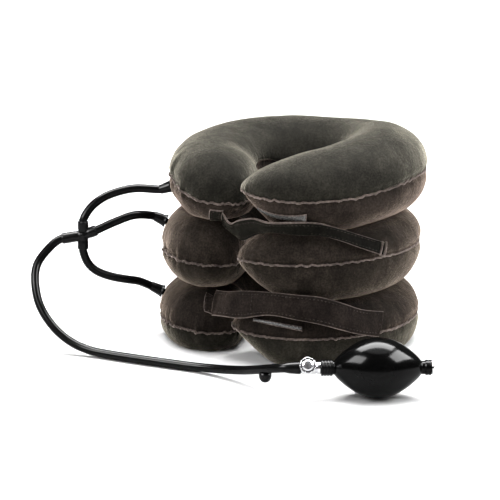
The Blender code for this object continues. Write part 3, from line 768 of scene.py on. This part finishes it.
def pucker_shift(tier, s, phi, rise):
    """Outward move of the skin from seam puckers and broad soft folds; rise is mm from the seam."""
    seed = TIER_SEED[tier]
    strength = float(np.interp(s, *zip(*PUCKER[tier])))
    side = 0.0 if abs(phi) < 90 else 300.0
    along = s + side + 0.25 * rise * hum(s / 40, seed, 0)
    fold = hum(along / LONG_FOLD, seed, rise / 30) + 0.5 * hum(along / SHORT_FOLD, seed + 5, rise / 20)
    reach = REACH + REACH * hum(along / 9, seed + 9, 0)
    if abs(phi) > 90:
        strength, reach = strength * INNER_SHARE, min(reach, INNER_REACH)
    elif phi < 0:
        strength *= LOWER_SHARE
    pucker = strength * (1.5 * max(fold, FOLD_DIP)) * math.exp(-rise / max(reach, 2.5))
    pinch = -PINCH * math.exp(-(rise / PINCH_REACH) ** 2)
    broad = hum(s / 30, phi / 45, seed) + 0.3 * hum(s / 12, phi / 25, seed + 2)
    inner = min(1.0, max(0.0, (abs(phi) - 100) / 40))
    return pucker + pinch + broad * 0.7 * (1 - inner)


def halved(grid, axis, wrap):
    """Grid with a smooth halfway point put between each pair of points along an axis."""
    g = np.moveaxis(grid, axis, 0)
    if wrap:
        before, after = np.concatenate([g[-2:-1], g[:-1]]), np.concatenate([g[1:], g[1:2]])
    else:
        before, after = np.concatenate([g[:1], g[:-1]]), np.concatenate([g[1:], g[-1:]])
    a, b = g[:-1], g[1:]
    out = np.empty((2 * len(g) - 1,) + g.shape[1:])
    out[0::2] = g
    out[1::2] = (a + b) / 2 + ((a - before[:-1]) - (after[1:] - b)) / 16
    return np.moveaxis(out, 0, axis)


def grid_normals(grid):
    """Outward unit normals of a skin grid that closes on itself along its second axis."""
    along = np.empty_like(grid)
    along[1:-1] = grid[2:] - grid[:-2]
    along[0], along[-1] = grid[1] - grid[0], grid[-1] - grid[-2]
    across = np.roll(grid, -1, 1) - np.roll(grid, 1, 1)
    across[0], across[-1] = across[1], across[-2]
    normal = np.cross(along, across)
    normal /= np.maximum(np.linalg.norm(normal, axis=2, keepdims=True), 1e-9)
    middle = grid.mean(axis=1, keepdims=True)
    if (normal * (grid - middle)).sum() < 0:
        normal = -normal
    for end in (0, -1):
        normal[end] = normal[1 if end == 0 else -2].mean(axis=0)
        normal[end] /= np.linalg.norm(normal[end, 0])
    return normal


def shaped_rows(tier):
    """The settled skin at twice the cells with its puckers: arc lengths, angles, points, normals."""
    s_list, rows = settled_rows(tier)
    angles = [a if a >= 0 else a + 360 for a in ring_angles()]
    grid = np.array([[tuple(p) for p in row] for row in rows])
    grid = np.concatenate([grid, grid[:, :1]], axis=1)
    grid = halved(halved(grid, 0, False), 1, True)[:, :-1]
    fine_s = np.interp(np.arange(2 * len(s_list) - 1) / 2, range(len(s_list)), s_list)
    turn = angles + [360]
    fine_a = np.interp(np.arange(2 * len(angles)) / 2, range(len(turn)), turn)
    normal = grid_normals(grid)
    for i, s in enumerate(fine_s):
        seam = station(tier, s)[4]
        for j, a in enumerate(fine_a):
            rise = abs(grid[i, j, 2] - seam)
            grid[i, j] += normal[i, j] * pucker_shift(tier, s, a if a <= 180 else a - 360, rise)
    t = TIERS[tier]
    low = t["lo"] + (COVER_LIMIT if t["lo"] > 0 else 0.0)
    grid[:, :, 2] = np.clip(grid[:, :, 2], low, t["hi"] - COVER_LIMIT)
    return fine_s, fine_a, grid, grid_normals(grid)


def half_cover(tier, rows, sign):
    """One cover half from the seam over the tier to the inner seam, with its real thickness."""
    fine_s, fine_a, grid, _ = rows
    n = len(fine_a)
    half = n // 2
    cols = list(range(0, half + 1)) if sign > 0 else [0] + list(range(n - 1, half - 1, -1))
    m = len(fine_s)
    verts = [grid[0, 0]] + [grid[i, j] for i in range(1, m - 1) for j in cols] + [grid[-1, 0]]
    faces = capped_faces(m, len(cols), False)
    if sign < 0:
        faces = [tuple(reversed(f)) for f in faces]
    name = f"{tier}_{'upper' if sign > 0 else 'lower'}_velour"
    ob = add_mesh(name, verts, faces, (UPPER if sign > 0 else LOWER)[tier])
    mod = ob.modifiers.new("thick", "SOLIDIFY")
    mod.thickness = COVER_T * MM
    mod.offset = -1
    apply_all(ob)
    return ob


RIDGE_STEP = 1.25                      # mm between the sections of the seam ridge
RIDGE = [(-1.4, -0.95), (0.5, -0.75), (1.5, -0.6), (2.1, -0.28), (1.9, 0.0), (2.1, 0.28), (1.5, 0.6),
         (0.5, 0.75), (-1.4, 0.95)]    # its section, mm out from the skin and up
RIDGE_WAVE_MAX = 2.4                   # puckers stronger than this no longer raise its wave
INNER_SIZE, INNER_START, INNER_FADE = 0.35, 6.0, 14.0    # how it thins out round the neck


def seam_ridge(tier, rows):
    """The two sewn cloth edges that stand out all round the tier, wavy and nubbed."""
    fine_s, fine_a, grid, _ = rows
    m, half = len(fine_s), len(fine_a) // 2
    closed = [Vector(grid[i, 0]) for i in range(m)] + [Vector(grid[i, half]) for i in range(m - 2, 0, -1)]
    closed.append(closed[0])
    run = distances(closed)
    outer, total = run[m - 1], run[-1]
    count = int(total / RIDGE_STEP)
    pts = [place_at(closed, run, total * k / count) for k in range(count)]
    for _ in range(3):
        pts = [(pts[k - 1] + pts[k] * 2 + pts[(k + 1) % count]) / 4 for k in range(count)]
    seed = TIER_SEED[tier]
    verts, marks = [], []
    for k, p in enumerate(pts):
        t = pts[(k + 1) % count] - pts[k - 1]
        out = Vector((t.y, -t.x, 0)).normalized()
        d = total * k / count
        past = min(d - outer, total - d)               # how far inside the neck opening it lies
        size = 1 - (1 - INNER_SIZE) * min(1.0, max(0.0, (past - INNER_START) / INNER_FADE))
        s = d if d < outer else outer * (total - d) / (total - outer)
        strength = min(float(np.interp(s, *zip(*PUCKER[tier]))), RIDGE_WAVE_MAX)
        wave = strength * (0.9 * hum(d / 5.0, seed, 0) + 0.55 * hum(d / 2.2, seed, 3))
        nub = 1.0 + 0.45 * hum(d / 1.9, seed, 7) + 0.2 * hum(d / 7, seed, 9)
        for o, h in RIDGE:
            lift = wave * size + h * (0.9 + 0.3 * (nub - 1)) * size
            verts.append(p + out * (o * nub * size if o > 0 else o) + Vector((0, 0, lift)))
        marks += [int(past > 10)] * len(RIDGE)
    ob = add_mesh(f"{tier}_seam_edge", verts, flipped(quads(count, len(RIDGE), looped=True)), EDGE)
    ob.data.materials.append(LOWER[tier])
    ob.data.polygons.foreach_set("material_index", marks)
    return ob


SKINS = {tier: shaped_rows(tier) for tier in TIERS}
for tier, rows in SKINS.items():
    halves = [stand_in(half_cover(tier, rows, 1), tier + "_cover_upper"),
              stand_in(half_cover(tier, rows, -1), tier + "_cover_lower")]
    ridge = seam_ridge(tier, rows)
    for ob in halves + [ridge]:
        flatten_with(ob, tier)


# ---------------------------------------------------------------- air bladders and tie bands
WELD = 0.00002                         # metres


def smooth_copy(name, node, mat, levels):
    """A welded copy of a CAD piece, rounded by that many levels, to stand in for it."""
    ob = link(name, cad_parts[node].data.copy())
    bm = bmesh.new()
    bm.from_mesh(ob.data)
    bmesh.ops.remove_doubles(bm, verts=bm.verts, dist=WELD)
    bm.to_mesh(ob.data)
    bm.free()
    ob.data.materials.clear()
    ob.data.materials.append(mat)
    if levels:
        ob.modifiers.new("round", "SUBSURF").levels = levels
        apply_all(ob)
    ob.data.shade_smooth()
    return ob


def clear_of_seam(ob, tier, depth=4.2, reach=11.0):
    """Draw a bladder's shell in behind the seam, where the covers pinch in over it."""
    ss, xs, ys, _ = LINES[tier]
    for v in ob.data.vertices:
        p = collar_mm(v.co)
        i = int(np.argmin((xs - p.x) ** 2 + (ys - p.y) ** 2))
        rise = p.z - station(tier, float(ss[i]))[4]
        away = Vector((p.x - float(xs[i]), p.y - float(ys[i]), 0))
        if away.length > 1e-6:
            pull = min(depth * math.exp(-(rise / reach) ** 2), away.length * 0.5)
            v.co = mm(p - away.normalized() * pull)


for tier in TIERS:
    chamber = smooth_copy(tier + "_air_chamber", tier + "_bladder", BLADDER, 1)
    clear_of_seam(chamber, tier)
    flatten_with(stand_in(chamber, tier + "_bladder"), tier)
for side, tier in (("lower", "middle"), ("upper", "top")):
    band = smooth_copy(side + "_tie_band", side + "_bond_band", LOWER[tier], 0)
    flatten_with(stand_in(band, side + "_bond_band"), tier)

# ---------------------------------------------------------------- hose ports
PORT_PROFILE = [(-7.1, 1.6), (-7.1, 5.4), (-5.9, 5.4), (-5.9, 2.9), (1.3, 2.9), (1.3, 5.8), (2.4, 6.0),
                (3.2, 5.3), (6.0, 4.9), (9.5, 4.55), (13.0, 4.15), (13.6, 3.95), (13.2, 3.82), (3.4, 4.1),
                (3.4, 1.6)]
for tier in TIERS:
    port = revolve(tier + "_hose_socket", frame_at(*PORT[tier]), rounded(PORT_PROFILE, 0.35), FITTING, 36)
    flatten_with(stand_in(port, tier + "_port"), tier)

# ---------------------------------------------------------------- sewn panels and straps
HEM_STEPS = [0.0, 0.25, 0.7, 1.3, 2.1, 2.8, 3.2, 3.6, 4.2]
HEM_LINE = 3.0                         # stitches this far in from a panel's edge


def spread(total, step):
    """Shares of a panel's length, close together over its hems and even between them."""
    edge = [d for d in HEM_STEPS if d < total * 0.45]
    inner = np.linspace(edge[-1], total - edge[-1], max(2, int((total - 2 * edge[-1]) / step) + 1))
    return [d / total for d in edge] + [float(d) / total for d in inner[1:-1]] + \
           [1 - d / total for d in reversed(edge)]


EDGE_ROUND, EDGE_BAND = 0.7, 0.65      # how far in a panel's edge is rounded, and has its own colour
HEM_PAST, HEM_SOFT = 0.5, 0.22         # where the hem steps down past its stitches, and how softly
GROOVE_DEPTH, GROOVE_WIDTH = 0.4, 0.45    # the stitches' groove, as a share of the hem's rise and in mm


def cloth_panel(name, surface, length, width, thick, mats, hem, step, rough=None):
    """Closed thin panel over surface(u, v), its edges rounded and its hem raised and sewn down."""
    us, vs = spread(length, step), spread(width, step)
    front, back, near_edge = [], [], []
    for u in us:
        for v in vs:
            p, n = surface(u, v)
            d = min(u * length, (1 - u) * length, v * width, (1 - v) * width)
            edge = math.sqrt(min(1.0, d / EDGE_ROUND))
            rise = thick * (0.5 + 0.5 * edge)
            rise += hem * min(1.0, d / 0.5) / (1 + math.exp((d - HEM_LINE - HEM_PAST) / HEM_SOFT))
            rise -= GROOVE_DEPTH * hem * math.exp(-((d - HEM_LINE) / GROOVE_WIDTH) ** 2)
            if rough:
                rise += rough(u * length, v * width) * min(1.0, d / 2.0)
            front.append(p + n * rise)
            back.append(p + n * (thick * 0.5 - thick * 0.5 * edge - (0.02 if d else -0.1)))
            near_edge.append(d < EDGE_BAND)
    m, w = len(us), len(vs)
    off = m * w
    cells = quads(m, w, closed=False)
    marks = [int(len(mats) > 1 and any(near_edge[q] for q in cell)) for cell in cells] * 2
    faces = flipped(cells) + [(b, c, d, a) for a, b, c, d in quads(m, w, off, False)]
    rim = [i * w for i in range(m)] + [(m - 1) * w + j for j in range(1, w)]
    rim += [i * w + w - 1 for i in range(m - 2, -1, -1)] + list(range(w - 2, 0, -1))
    for a, b in zip(rim, rim[1:] + rim[:1]):
        faces.append((b, a, a + off, b + off))
        marks.append(int(len(mats) > 1))
    ob = add_mesh(name, front + back, faces, mats[0])
    for extra in mats[1:]:
        ob.data.materials.append(extra)
    ob.data.polygons.foreach_set("material_index", marks)
    face_outward(ob)
    return ob


STITCH_RINGS, STITCH_SIDES = 5, 6


def stitches(name, runs, radius=0.28, dash=2.1, gap=1.3):
    """Rows of short sewn stitches; each run is a list of (point, normal) along its line."""
    verts, faces = [], []
    for run in runs:
        pts, normals = zip(*run)
        far = distances(pts)
        d = gap
        while d + dash < far[-1]:
            base = len(verts)
            for i in range(STITCH_RINGS):
                e = d + dash * i / (STITCH_RINGS - 1)
                p, n = place_at(pts, far, e), place_at(normals, far, e).normalized()
                ahead, behind = (place_at(pts, far, x) for x in (min(e + 0.3, far[-1]), max(e - 0.3, 0)))
                side = n.cross((ahead - behind).normalized()).normalized()
                lift = 0.22 - 0.45 * abs(i - 2) ** 2 / 4
                r = radius * (0.55 if i in (0, STITCH_RINGS - 1) else 1.0)
                for k in range(STITCH_SIDES):
                    a = 2 * math.pi * k / STITCH_SIDES
                    verts.append(p + n * (lift + r * math.sin(a)) + side * r * math.cos(a))
            faces += flipped(quads(STITCH_RINGS, STITCH_SIDES, base))
            faces.append(tuple(range(base, base + STITCH_SIDES)))
            faces.append(tuple(reversed(range(len(verts) - STITCH_SIDES, len(verts)))))
            d += dash + gap
    return add_mesh(name, verts, faces, THREAD)


def panel_run(surface, length, width, lift, start, end):
    """Points and normals over a panel between two (mm along, mm across) places, lift mm up."""
    count = max(4, int(math.dist(start, end) / 1.5))
    out = []
    for i in range(count + 1):
        q = [a + (b - a) * i / count for a, b in zip(start, end)]
        p, n = surface(q[0] / length, q[1] / width)
        out.append((p + n * lift, n))
    return out


def skin_at(rows, s, phi):
    """Point and outward normal of a finished tier skin at an arc length and section angle."""
    fine_s, fine_a, grid, normal = rows
    i = float(np.interp(s, fine_s, range(len(fine_s))))
    j = float(np.interp(phi % 360, list(fine_a) + [360.0], range(len(fine_a) + 1)))
    i0, j0 = min(int(i), len(fine_s) - 2), int(j) % len(fine_a)
    j1 = (j0 + 1) % len(fine_a)
    fi, fj = i - i0, j - int(j)
    out = []
    for g in (grid, normal):
        out.append(Vector((g[i0, j0] * (1 - fj) + g[i0, j1] * fj) * (1 - fi)
                          + (g[i0 + 1, j0] * (1 - fj) + g[i0 + 1, j1] * fj) * fi))
    return out[0], out[1].normalized()


def tier_patch(tier, s0, s1, p0, p1, low, slant=0.0, skew=0.0, curl=0.0):
    """Surface over a tier between two arc lengths and angles, low mm above it, with its length and width.

    slant turns its s1 end further round the section in degrees, skew moves its p1 side along the
    tier and curl lifts its s0 end off the cloth, both in millimetres."""
    rows = SKINS[tier]

    def surface(u, v):
        p, n = skin_at(rows, s0 + (s1 - s0) * u + skew * v, p0 + (p1 - p0) * v + slant * u)
        return p + n * (low + curl * math.exp(-u * abs(s1 - s0) / 3.5) * (0.6 + 0.8 * v)), n
    length = distances([surface(k / 12, 0.5)[0] for k in range(13)])[-1]
    width = distances([surface(0.5, k / 12)[0] for k in range(13)])[-1]
    return surface, length, width


def ribbon_surface(upper, lower, bulge, count=240):
    """Surface of a strap between an upper and a lower edge line, with its length and width."""
    def even(points):
        line = smooth_line(points, 1.0)
        return [place_at(line, range(len(line)), q) for q in np.linspace(0, len(line) - 1, count)]
    up, lo = even(upper), even(lower)
    normals = []
    for i in range(count):
        a, b = max(i - 2, 0), min(i + 2, count - 1)
        n = (lo[i] - up[i]).cross(up[b] - up[a] + lo[b] - lo[a]).normalized()
        normals.append(n if n.dot(Vector((up[i].x, up[i].y, 0))) > 0 else -n)
    table = np.array([[*a, *b, *n] for a, b, n in zip(up, lo, normals)])

    def surface(u, v):
        row = [float(np.interp(u * (count - 1), range(count), table[:, c])) for c in range(9)]
        a, b, n = Vector(row[:3]), Vector(row[3:6]), Vector(row[6:]).normalized()
        return a.lerp(b, v) + n * bulge * 4 * v * (1 - v), n
    length = (distances(up)[-1] + distances(lo)[-1]) / 2
    width = sum((a - b).length for a, b in zip(up, lo)) / count
    return surface, length, width


TOP_STRAP = (
    [(-17, -90, 128), (-9, -90, 120), (1, -93, 124), (19, -97, 129), (37, -103, 129), (50, -102, 130),
     (63, -97, 131), (76, -83, 129), (87, -67, 122), (98, -50, 114), (108, -30, 105)],
    [(-20, -85, 116), (-17, -78, 110), (-10, -77, 105), (1, -83, 104), (17, -89, 112), (32, -94, 118),
     (45, -94, 119), (58, -89, 118), (74, -79, 117), (88, -67, 111), (99, -52, 103), (110, -36, 95)])
BOTTOM_STRAP = (
    [(-26, -85, 56), (-12, -90, 58), (11, -95, 63), (37, -97, 66), (60, -92, 66), (76, -81, 64),
     (88, -68, 58), (99, -52, 50), (107, -29, 44)],
    [(-23, -97, 36), (-10, -101, 38), (11, -103, 40), (39, -103, 47), (63, -97, 45), (79, -86, 41),
     (92, -73, 35), (102, -58, 29), (109, -40, 24)])
TOP_BULGE, BOTTOM_BULGE = 1.0, 1.5     # how far each strap bows out across its width
STRAP_T, STRAP_HEM = 1.5, 0.5
THREAD_LIFT = 0.15                     # how far stitches lie above the cloth
PANEL_STEP, HOOK_STEP = 2.0, 1.2       # mesh cell of cloth, and of hook tape
CREASE_SIZE, CREASE_DEPTH, CREASE_FADE = 17.0, 0.55, 28.0


def wrinkle(seed):
    """Height of soft creases over a strap, in mm, strongest near its start."""
    def rough(a, b):
        soft = CREASE_DEPTH * hum(a / CREASE_SIZE, b / (CREASE_SIZE * 0.6), seed)
        tight = CREASE_DEPTH * 1.6 * math.exp(-a / CREASE_FADE)
        return soft + tight * hum((a + b) / 5.0, (a - b) / 14.0, seed + 3)
    return rough


def make_strap(name, edges, bulge, tier, seed, cross_seam, mat):
    """Velour strap with a hem all round, sewn along its hem and once across."""
    surface, length, width = ribbon_surface(*edges, bulge)
    strap = cloth_panel(name + "_webbing", surface, length, width, STRAP_T, (mat, EDGE), STRAP_HEM,
                        PANEL_STEP, wrinkle(seed))
    stand_in(strap, name)
    near, far, end = HEM_LINE, width - HEM_LINE, length - HEM_LINE
    ends = [((1, near), (end, near)), ((1, far), (end, far)), ((end, near), (end, far)),
            ((cross_seam, near), (cross_seam, far))]
    sewn = stitches(name + "_stitching",
                    [panel_run(surface, length, width, STRAP_T + THREAD_LIFT, a, b) for a, b in ends])
    for ob in (strap, sewn):
        flatten_with(ob, tier, name + "_flap")


def sewn_patch(name, node, patch, thick, mats, tier, hem, rough=None):
    """Small panel on a tier, sewn down round its edge."""
    surface, length, width = patch
    step = HOOK_STEP if rough else PANEL_STEP
    ob = cloth_panel(name, surface, length, width, thick, mats, hem, step, rough)
    flatten_with(stand_in(ob, node), tier)
    e = min(HEM_LINE, width * 0.2, length * 0.2)
    corners = [(e, e), (length - e, e), (length - e, width - e), (e, width - e), (e, e)]
    thread = stitches(name + "_stitching", [panel_run(surface, length, width, thick + THREAD_LIFT, a, b)
                                            for a, b in zip(corners, corners[1:])])
    flatten_with(thread, tier)


def hooks(a, b):
    """Height of the tiny hooks over a strip of hook tape, in rows."""
    frayed = 0.5 * math.exp(-a / 6.0) * noise.noise(Vector((a * 1.3, b * 1.3, 4.0)))
    return 0.28 * abs(math.sin(a * 2.1)) * abs(math.sin(b * 2.1 + 0.6)) + frayed


def end_roll(name, edges, bulge, mat, turn=(-205, 70), radius=2.7, wall=1.1):
    """The strap's free end rolled back on itself, open towards the strap."""
    surface, _, _ = ribbon_surface(*edges, bulge)
    verts = []
    angles = np.radians(np.linspace(*turn, 19))
    across = np.linspace(0.0, 1.0, 13)
    for v in across:
        p, n = surface(1.0, v)
        along = (p - surface(0.97, v)[0]).normalized()
        fray = 1 + 0.10 * hum(v * 4, 2.0, 0)
        centre = p - along * 1.6 + n * (radius * 0.85)
        outside, inside = ([centre + (along * math.cos(a) + n * math.sin(a)) * (r * fray) for a in angles]
                           for r in (radius, radius - wall))
        verts += outside + inside[::-1]
    w = 2 * len(angles)
    faces = flipped(quads(len(across), w))
    for base, back in ((0, False), ((len(across) - 1) * w, True)):
        for k in range(len(angles) - 1):
            quad = (base + k, base + k + 1, base + w - 2 - k, base + w - 1 - k)
            faces.append(tuple(reversed(quad)) if back else quad)
    ob = add_mesh(name, verts, faces, mat)
    face_outward(ob)
    return ob


# the top strap takes the darkened strap velour, a painted shade under the top tier's bulge
make_strap("top_strap", TOP_STRAP, TOP_BULGE, "top", 5.0, 4.0, SHADED_STRAP)
roll = end_roll("top_strap_rolled_end", TOP_STRAP, TOP_BULGE, EDGE)
flatten_with(roll, "top", "top_strap_flap")
make_strap("bottom_strap", BOTTOM_STRAP, BOTTOM_BULGE, "bottom", 9.0, 47.0, STRAP)
TOP_LEN, BOTTOM_LEN = tier_length("top"), tier_length("bottom")
sewn_patch("top_hook_strip", "top_hook_patch",
           tier_patch("top", TOP_LEN - 53, TOP_LEN - 21, -12, -21, 0.35, -20.0, 0.0, 2.6),
           0.55, (HOOK, EDGE), "top", 0.2, hooks)
sewn_patch("bottom_hook_strip", "bottom_hook_patch",
           tier_patch("bottom", BOTTOM_LEN - 58, BOTTOM_LEN - 27, 19, 12, 0.35, 12.0, 0.0, 1.2),
           0.6, (HOOK, EDGE), "bottom", 0.2, hooks)
# the top strap's tab shares that darkened velour: painted shade
sewn_patch("top_strap_tab", "top_strap_root", tier_patch("top", 9, 15, -29, -61, 0.2, 10.0, 5.5),
           1.0, (SHADED_STRAP, EDGE), "top", 0.4)
sewn_patch("bottom_strap_tab", "bottom_strap_root", tier_patch("bottom", 14, 20.5, 62, 30, 0.2, 0.0, -6.0),
           1.0, (STRAP, EDGE), "bottom", 0.4)

# ---------------------------------------------------------------- release valve
VALVE = frame_at(VALVE_O, VALVE_DIR)
VALVE_SIDE = Vector((VALVE_DIR.y, -VALVE_DIR.x, 0))
STEM_RISE = math.radians(25)           # how far the release screw points up from level
STEM = frame_at(VALVE_O, VALVE_SIDE * math.cos(STEM_RISE) + Vector((0, 0, math.sin(STEM_RISE))))

CRIMP = [(-17.5, 3.85), (-17.9, 4.05), (-14.0, 4.7), (-9.0, 5.1), (-6.6, 5.3), (-5.6, 5.1), (-5.1, 4.6),
         (-5.1, 1.6), (-6.4, 1.6), (-6.4, 4.1)]
BARREL = [(-5.0, 0), (-5.0, 4.8), (-3.6, 5.3), (-2.6, 5.3), (-2.2, 4.8), (-1.8, 5.3), (6.6, 5.3), (7.0, 4.7),
          (7.6, 4.7), (8.0, 5.3), (10.4, 5.3), (11.0, 4.8), (11.0, 3.8), (20.0, 3.8), (20.0, 0)]
BRANCH = [(0, 0), (0, 4.4), (6.0, 4.4), (6.6, 4.8), (8.6, 4.8), (9.4, 4.3), (9.4, 0)]
DIAL = [(8.9, 0), (8.9, 1.95), (9.9, 1.95), (9.9, 5.9), (10.5, 6.9), (13.8, 6.9), (14.6, 6.4), (14.7, 5.9),
        (12.0, 5.5), (12.0, 4.9), (14.3, 4.6), (14.9, 3.4), (15.2, 1.8), (15.3, 0)]


def knurled(name, frame_m, profile, mat, teeth, depth, start, end, inside):
    """Turned body with teeth round its rim from start to end along its axis, outside a radius."""
    ob = revolve(name, frame_m, profile, mat, teeth * 4)
    back = frame_m.inverted()
    for v in ob.data.vertices:
        p = back @ collar_mm(v.co)
        r = math.hypot(p.y, p.z)
        if start <= p.x <= end and r > inside:
            k = 1 - depth / r * (0.5 - 0.5 * math.cos(math.atan2(p.z, p.y) * teeth))
            v.co = mm(frame_m @ Vector((p.x, p.y * k, p.z * k)))
    return ob


crimp = revolve("hose_crimp", VALVE, rounded(CRIMP, 0.3), FITTING, 40)
stand_in(crimp, "hose_ferrule", "base")
barrel = revolve("barrel", VALVE, rounded(BARREL, 0.25), CHROME)
branch = revolve("branch", STEM, rounded(BRANCH, 0.25), CHROME)
stand_in(union("chrome_valve_body", [barrel, branch], CHROME), "valve_body", "base")
wheel = knurled("chrome_release_wheel", STEM, rounded(DIAL, 0.15), WHEEL, 30, 0.55, 10.2, 14.0, 6.0)
stand_in(wheel, "release_wheel", "release_screw")

# ---------------------------------------------------------------- hand bulb
BULB_MID, BULB_HALF, BULB_R, NECK_R = 57.5, 35.5, 25.2, 5.6
BULB_WALL, BORE_R = 2.4, 4.15
BULB_POWER = 0.82                      # under 1, so that the bulb is fuller than a cosine
INSIDE_SHARE = 0.93                    # length of the hollow over the bulb's own
NEAR_BEAD = [(12.6, 5.3), (13.2, 5.9), (14.4, 5.9), (14.9, 5.5), (21.2, 5.5)]
FAR_BEAD = [(94.0, 5.6), (96.0, 5.6), (96.6, 6.3), (97.8, 6.5), (98.6, 6.1), (99.2, 6.1), (99.8, 6.6),
            (101.0, 6.4), (101.3, 5.6), (101.3, BORE_R)]
INTAKE_RIM = [(92.0, 2.95), (92.0, 3.8), (101.5, 3.8), (101.5, 6.0), (102.0, 6.4), (102.9, 6.4), (103.5, 5.9),
              (103.5, 3.4), (102.6, 2.9), (102.6, 1.5), (99.0, 1.5), (99.0, 2.95)]


def bulb_radius(u):
    """Radius of the bulb at a share u of its half length from the middle."""
    return NECK_R + (BULB_R - NECK_R) * math.cos(math.pi / 2 * u) ** BULB_POWER


skin = [(BULB_MID + BULB_HALF * u, bulb_radius(u))
        for u in np.sin(np.linspace(-math.pi / 2, math.pi / 2, 65))]
inside = [(BULB_MID + (x - BULB_MID) * INSIDE_SHARE, max(BORE_R, r - BULB_WALL)) for x, r in reversed(skin)]
outline = NEAR_BEAD + skin[1:-1] + FAR_BEAD + inside + [(12.6, BORE_R)]
bulb = stand_in(revolve("squeeze_bulb", VALVE, outline, BULB, 96), "bulb", "base")
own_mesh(bulb)
ribs = [(11.2, 5.95)]
for x in (11.2, 13.6, 16.0, 18.4):
    ribs += [(x, 6.4), (x + 0.5, 6.9), (x + 1.3, 6.9), (x + 1.8, 6.35)]
ribs += [(20.6, 6.5), (20.8, 5.95)]
stand_in(revolve("bulb_ribbed_sleeve", VALVE, rounded(ribs, 0.2), FITTING, 56),
         "bulb_neck_sleeve", "base")
stand_in(revolve("chrome_intake_rim", VALVE, rounded(INTAKE_RIM, 0.2), CHROME, 56),
         "intake_valve_body", "base")
for name, mat in (("intake_retainer", CHROME_DULL), ("intake_disc", FITTING), ("outlet_disc", FITTING),
                  ("outlet_seat", FITTING)):
    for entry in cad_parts[name].material_slots:
        entry.material = mat


# ---------------------------------------------------------------- studio
FLOOR_HALF = 12                        # metres
FLOOR_DROP = 0.0002                    # metres that the floor lies under the collar
BOX_AIM = (20, -30, 70)
BOX_DISTANCE = 1.6                     # metres


def add_stage():
    r = FLOOR_HALF
    me = bpy.data.meshes.new("floor")
    me.from_pydata([(-r, -r, 0), (r, -r, 0), (r, r, 0), (-r, r, 0)], [], [(0, 1, 2, 3)])
    floor = link("floor", me)
    floor.location.z = -FLOOR_DROP
    mat, tree, bsdf, coord = material("floor_white")
    speck = noise_fac(tree, coord, 30, 2, 0.5)
    tree.links.new(ramp(tree, speck, (0.3, 0.93), (0.7, 0.95)), bsdf.inputs["Base Color"])
    put(bsdf, {"Roughness": 0.9, "Specular IOR Level": 0.1})
    me.materials.append(mat)
    world = bpy.data.worlds.new("studio")
    bpy.context.scene.world = world
    world.use_nodes = True
    put(world.node_tree.nodes["Background"], {"Color": (1, 1, 1, 1), "Strength": 0.14})
    bpy.context.scene.view_settings.view_transform = "Standard"


def sun_light(name, direction, angle, strength):
    data = bpy.data.lights.new(name, "SUN")
    data.energy = strength
    data.angle = math.radians(angle)
    aim_along(link(name, data), direction)


def softbox(name, turn, rise, size, radiance, gloss_only=False):
    """Soft area light aimed at the collar, turn degrees right of the camera and rise above the floor."""
    data = bpy.data.lights.new(name, "AREA")
    data.shape = "RECTANGLE"
    data.size, data.size_y = size
    data.energy = radiance * math.pi * size[0] * size[1]
    ob = link(name, data)
    away = bearing(CAM_AZIMUTH + turn, rise) * BOX_DISTANCE
    ob.location = mm(BOX_AIM) + away
    aim_along(ob, -away)
    ob.visible_diffuse = not gloss_only
    ob.visible_glossy = gloss_only


add_stage()
sun_light("overhead", (0.05, -0.15, -1), 60, 4.2)
softbox("fill_left", -58, 38, (0.85, 0.65), 6)
softbox("fill_right", 72, 38, (0.85, 0.65), 7)
softbox("fill_top", 180, 72, (1.1, 0.45), 16)
softbox("window_left", -60, 36, (0.9, 0.65), 50, True)
softbox("window_right", 80, 38, (1.3, 0.7), 62, True)
softbox("window_top", 180, 75, (2.2, 0.85), 62, True)
